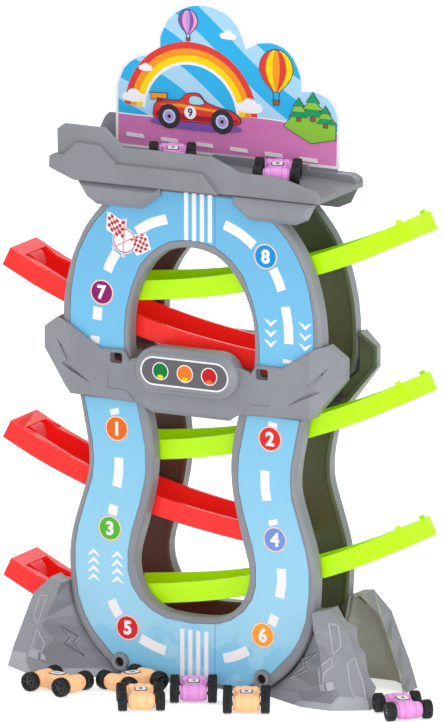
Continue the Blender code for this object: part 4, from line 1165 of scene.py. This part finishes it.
BOARD_FRONT_Y, BOARD_BACK_Y = 27.0, 29.2
BORDER = 1.9
CLOUDS = [(-73.0, 385.0, 8.5), (14.0, 386.0, 9.5), (-64.0, 405.5, 5.0), (-2.0, 433.0, 6.0)]
HILL = [
    (40.0, 376.0), (46.0, 383.0), (56.0, 388.0), (66.0, 388.6), (74.0, 385.0), (78.6, 380.0), (78.4, 370.0),
    (60.0, 366.0),
]
PINES = [(51.0, 380.0, 13.0), (61.5, 381.0, 16.0), (71.0, 377.5, 12.0)]
RAINBOW_RADII = (50.0, 45.5, 41.0, 36.5, 34.5)
RAINBOW_INKS = ("cherry", "tangerine", "sunny", "snow")
BALLOONS = [
    (34.0, 413.0, 12.5, ("cherry", "sunny", "tangerine")),
    (-32.0, 440.0, 7.0, ("violet", "rose", "lilac")),
]


def board_art():
    """A generic scene: a rainbow, two balloons, clouds, a hill with pines and a toy racing car on a road."""
    outline = node_outline("backdrop_board")
    for label, depth, side in (("front", -BOARD_FRONT_Y, -1), ("back", BOARD_BACK_Y, 1)):
        art = Picture(f"board_picture_{label}", depth, side, "board", "board_print", turned=False)
        art.shape(grown(outline, -BORDER), "board_art")
        rainbow(art, -30.0, 376.0, RAINBOW_RADII, RAINBOW_INKS)
        for place in CLOUDS:
            cloud(art, *place)
        for place in BALLOONS:
            balloon(art, *place)
        motif(art, HILL, "mint")
        for place in PINES:
            pine(art, *place)
        for k in range(6):
            x, z = -78.0 + 26.0 * k, 357.6 - 0.8 * k
            art.shape([(x, z), (x + 13.0, z - 0.4), (x + 12.0, z + 2.0), (x - 0.4, z + 2.4)], "white")
        toy_racer(art, -26.0, 369.5, 1.02)
        art.finish()


def pixel_ray(px, py):
    """The camera's ray through a pixel of the photograph."""
    camera = bpy.context.scene.camera
    turn = camera.rotation_euler.to_matrix()
    towards = turn @ Vector(((px - PHOTO_WIDTH / 2) * PIXEL, (PHOTO_HEIGHT / 2 - py) * PIXEL, -1.0))
    return camera.location.copy(), towards.normalized()


class Surface:
    """A node's own surface, to lay details on."""

    def __init__(self, node):
        work = bmesh.new()
        work.from_mesh(NODES[node].data)
        bmesh.ops.remove_doubles(work, verts=work.verts, dist=1e-6)
        bmesh.ops.recalc_face_normals(work, faces=work.faces)
        self.tree = BVHTree.FromBMesh(work)
        self.work = work

    def under(self, px, py):
        """The place and the normal that the camera sees at a pixel."""
        return self.tree.ray_cast(*pixel_ray(px, py))[:2]


def prism_on(surface, outline, low, high, trim):
    """Three rings of points over a surface: one below it, and two above it with a chamfer between them."""
    seen = [surface.under(px, py) for px, py in outline]
    fronts = [h for h in seen if h[0] and h[1].y < -0.3]
    normal = sum((h[1] for h in fronts), Vector()).normalized()
    middle = sum((h[0] for h in fronts), Vector()) / len(fronts)
    places = []
    for (px, py), (place, facing) in zip(outline, seen):
        if (place, facing) not in fronts:
            start, towards = pixel_ray(px, py)
            place = start + towards * ((middle - start).dot(normal) / towards.dot(normal))
        places.append(place)
    rows = [[p + normal * low * MM for p in places], [p + normal * (high - trim) * MM for p in places]]
    top = []
    for p in places:
        inwards = middle - p
        inwards -= normal * inwards.dot(normal)
        top.append(p + normal * high * MM + inwards.normalized() * trim * MM)
    return [[tuple(p / MM) for p in row] for row in rows + [top]]


RIDGE_STEP = 2.0


def raised_line(shape, surface, outline, width, height, finish):
    """A fine ridge along a closed line that lies on a surface."""
    spots = []
    for (ax, ay), (bx, by) in sides(outline):
        count = max(2, round(math.hypot(bx - ax, by - ay) / RIDGE_STEP))
        spots += [surface.under(ax + (bx - ax) * k / count, ay + (by - ay) * k / count) for k in range(count)]
    spots = [h for h in spots if h[0] and h[1].y < NEAR_FACING]
    rows = []
    for i, (p, normal) in enumerate(spots):
        run = spots[(i + 1) % len(spots)][0] - spots[i - 1][0]
        run -= normal * run.dot(normal)
        aside = run.normalized().cross(normal) * width / 2 * MM
        up = normal * height * MM
        rows.append([tuple(q / MM) for q in (p + aside, p + up, p - aside, p - up)])
    shape.loft(rows, finish, ring=True)


# A face that the camera sees well has a normal that points forwards by more than this
NEAR_FACING = -0.15

# Facets of the legs with painted shade (finish 1) and painted light (finish 2), and lines and blocks on them,
# in pixels of the photograph
LEFT_LIT_AND_SHADED = [
    ([(49, 618), (75, 615), (88, 640), (108, 666), (66, 669), (45, 664), (43, 650), (54, 640), (41, 624)], 1),
    ([(11.6, 650), (26.5, 652.8), (25.3, 662), (30.7, 670.7), (28.2, 675.7), (6.2, 668.6)], 2),
    ([(66, 668), (112, 669), (112, 676), (60, 676)], 2),
]
LEFT_LINES = [
    ([(40.2, 595.2), (47.3, 595.6), (37.2, 624.2), (33.6, 615.5)], "grey_ridge_highlight"),
    ([(36.6, 628.5), (44.2, 643.4), (41.4, 652.4), (31.2, 648.4)], "grey_ridge_highlight"),
    ([(60.7, 626.2), (78.6, 636.4), (73.2, 641.8), (86.6, 657.0), (64.3, 643.1), (70.1, 638.2)],
     "grey_groove_shade"),
]
LEFT_BLOCKS = [
    ([(30.6, 648.8), (38.8, 651.6), (38.6, 660.0), (28.4, 656.4)], 1.3),
    ([(40.4, 652.6), (45.2, 655.4), (46.2, 661.4), (40.2, 659.8)], 1.1),
]
RIGHT_LIT_AND_SHADED = [
    ([(303, 649), (311, 641), (323, 647), (331, 657), (318.5, 667.5), (319.5, 684), (298, 693), (276, 688),
      (287, 675)], 1),
    ([(298, 693), (319.1, 686.4), (337.5, 690.1), (339.6, 696.6), (331.4, 704), (301.2, 700.3)], 1),
    ([(301.2, 700.3), (331.4, 704), (339.6, 696.6), (369, 700), (368.9, 712), (331.4, 714), (290, 706)], 2),
]
RIGHT_LINES = [
    ([(328.6, 623.4), (338.3, 625.6), (340.8, 646.8), (333.4, 654.8)], "grey_ridge_highlight"),
    ([(357.1, 653.4), (347.3, 664.4), (350.2, 686.4), (354.2, 697.0), (366.0, 699.0), (360.6, 670.0)],
     "grey_ridge_highlight"),
    ([(331.6, 657.4), (318.4, 668.0), (319.8, 683.8), (323.0, 683.0), (323.6, 673.6), (332.0, 666.4)],
     "grey_ridge_highlight"),
    ([(316.7, 652.6), (300.6, 659.2), (303.0, 665.6), (288.5, 678.0), (307.7, 668.9), (304.4, 661.9)],
     "grey_groove_shade"),
]
RIGHT_BLOCKS = [
    ([(320.2, 684.6), (324.2, 684.0), (326.2, 691.6), (320.8, 690.8)], 1.3),
    ([(325.2, 683.0), (333.6, 681.2), (334.8, 689.4), (327.4, 691.8)], 1.3),
]


def pixel_of(point):
    """Where the camera sees a place, in the photograph's pixels."""
    camera = bpy.context.scene.camera
    local = camera.rotation_euler.to_matrix().transposed() @ (point - camera.location)
    return PHOTO_WIDTH / 2 - local.x / local.z / PIXEL, PHOTO_HEIGHT / 2 + local.y / local.z / PIXEL


def within(point, outline):
    """Says whether a point lies in a closed outline."""
    x, y = point
    odd = False
    for (ax, ay), (bx, by) in sides(outline):
        if (ay > y) != (by > y) and x < (bx - ax) * (y - ay) / (by - ay) + ax:
            odd = not odd
    return odd


def paint_light_and_shade(work, outline, finish):
    """Cuts an outline into a mesh's near faces, and gives what lies in it another finish; the legs use it to
    paint shade and light onto facets.
    """
    box = [(min(side), max(side)) for side in zip(*outline)]
    for a, b in sides(outline):
        start, one = pixel_ray(*a)
        plane = one.cross(pixel_ray(*b)[1]).normalized()
        near = set()
        for face in work.faces:
            if face.normal.y < NEAR_FACING:
                spots = zip(*(pixel_of(v.co) for v in face.verts))
                if all(min(spot) < high and max(spot) > low for spot, (low, high) in zip(spots, box)):
                    near.update([face, *face.edges, *face.verts])
        bmesh.ops.bisect_plane(work, geom=list(near), dist=1e-6, plane_co=start, plane_no=plane)
    for face in work.faces:
        if face.normal.y < NEAR_FACING and within(pixel_of(face.calc_center_median()), outline):
            face.material_index = finish


# How far out the legs' outer flanges start, in metres, and the finishes that the numbers of painted shade and
# painted light above stand for
LEG_RIM = 0.104
LEG_FINISHES = ("grey", "grey_shade", "grey_painted_light", "leg_inside_painted_light", "grey_ridge_highlight", "grey_groove_shade")


def joined_up(work, **more):
    bmesh.ops.dissolve_limit(work, angle_limit=FLAT_ANGLE, verts=work.verts, edges=work.edges, **more)


def leg_relief(surface, lines, blocks):
    """The fine lines and the blocks on a leg, with painted highlights on ridges and blocks, and painted shade
    in grooves.
    """
    relief = Body()
    for finish in LEG_FINISHES:
        relief.index(finish)
    for outline, finish in lines:
        # A groove is drawn as a dark bead of painted shade, with a bead of painted highlight just beside it
        if finish == "grey_groove_shade":
            highlight_beside = [(px + 0.8, py + 0.5) for px, py in outline]
            raised_line(relief, surface, highlight_beside, 0.6, 0.2, "grey_ridge_highlight")
        raised_line(relief, surface, outline, 0.8, 0.35, finish)
    # Blocks carry painted light
    for outline, height in blocks:
        relief.loft(prism_on(surface, outline, -0.8, height, 0.35), "grey_painted_light")
    return relief.mesh("relief", 20.0)


def detailed_legs():
    """The four legs with their facets, lines and blocks; the back pair mirrors the front pair."""
    for word, outside, lit_and_shaded, lines, blocks in (
        ("left", -1, LEFT_LIT_AND_SHADED, LEFT_LINES, LEFT_BLOCKS),
        ("right", 1, RIGHT_LIT_AND_SHADED, RIGHT_LINES, RIGHT_BLOCKS),
    ):
        surface = Surface(f"front_foot_{word}")
        work = surface.work
        joined_up(work)
        # Backward-facing walls off the outer flanges take the finish with painted light
        for face in work.faces:
            reach = abs(face.calc_center_median().x - TOWER.x)
            rim = face.normal.x * outside > 0.3 and reach > LEG_RIM
            face.material_index = LEG_FINISHES.index("leg_inside_painted_light") if face.normal.y > 0.3 and not rim else 0
        relief = leg_relief(surface, lines, blocks)
        # Painted shade and painted light on the facets
        for outline, finish in lit_and_shaded:
            paint_light_and_shade(work, outline, finish)
        joined_up(work, delimit={"MATERIAL"})
        leg = mesh_of(work, "leg", ())
        for label in ("front", "back"):
            for kind, source in (("leg", leg), ("ridges", relief)):
                copy = bmesh.new()
                copy.from_mesh(source)
                if label == "back":
                    for v in copy.verts:
                        v.co.y = 2 * TOWER.y - v.co.y
                    bmesh.ops.reverse_faces(copy, faces=copy.faces)
                name = f"{label}_{kind}_{word}"
                piece = add_piece(name, mesh_of(copy, name, LEG_FINISHES), "tower", "grey_shell")
                if kind == "leg":
                    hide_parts(f"{label}_foot_{word}")
                    round_edges(piece, 0.3, 8.0)


make_materials()
studio()
photo_camera()
dress_nodes()
road_prints()
lamp_bezels()
board_art()
racers()
detailed_legs()

scene = bpy.context.scene
scene.view_settings.view_transform = "Standard"
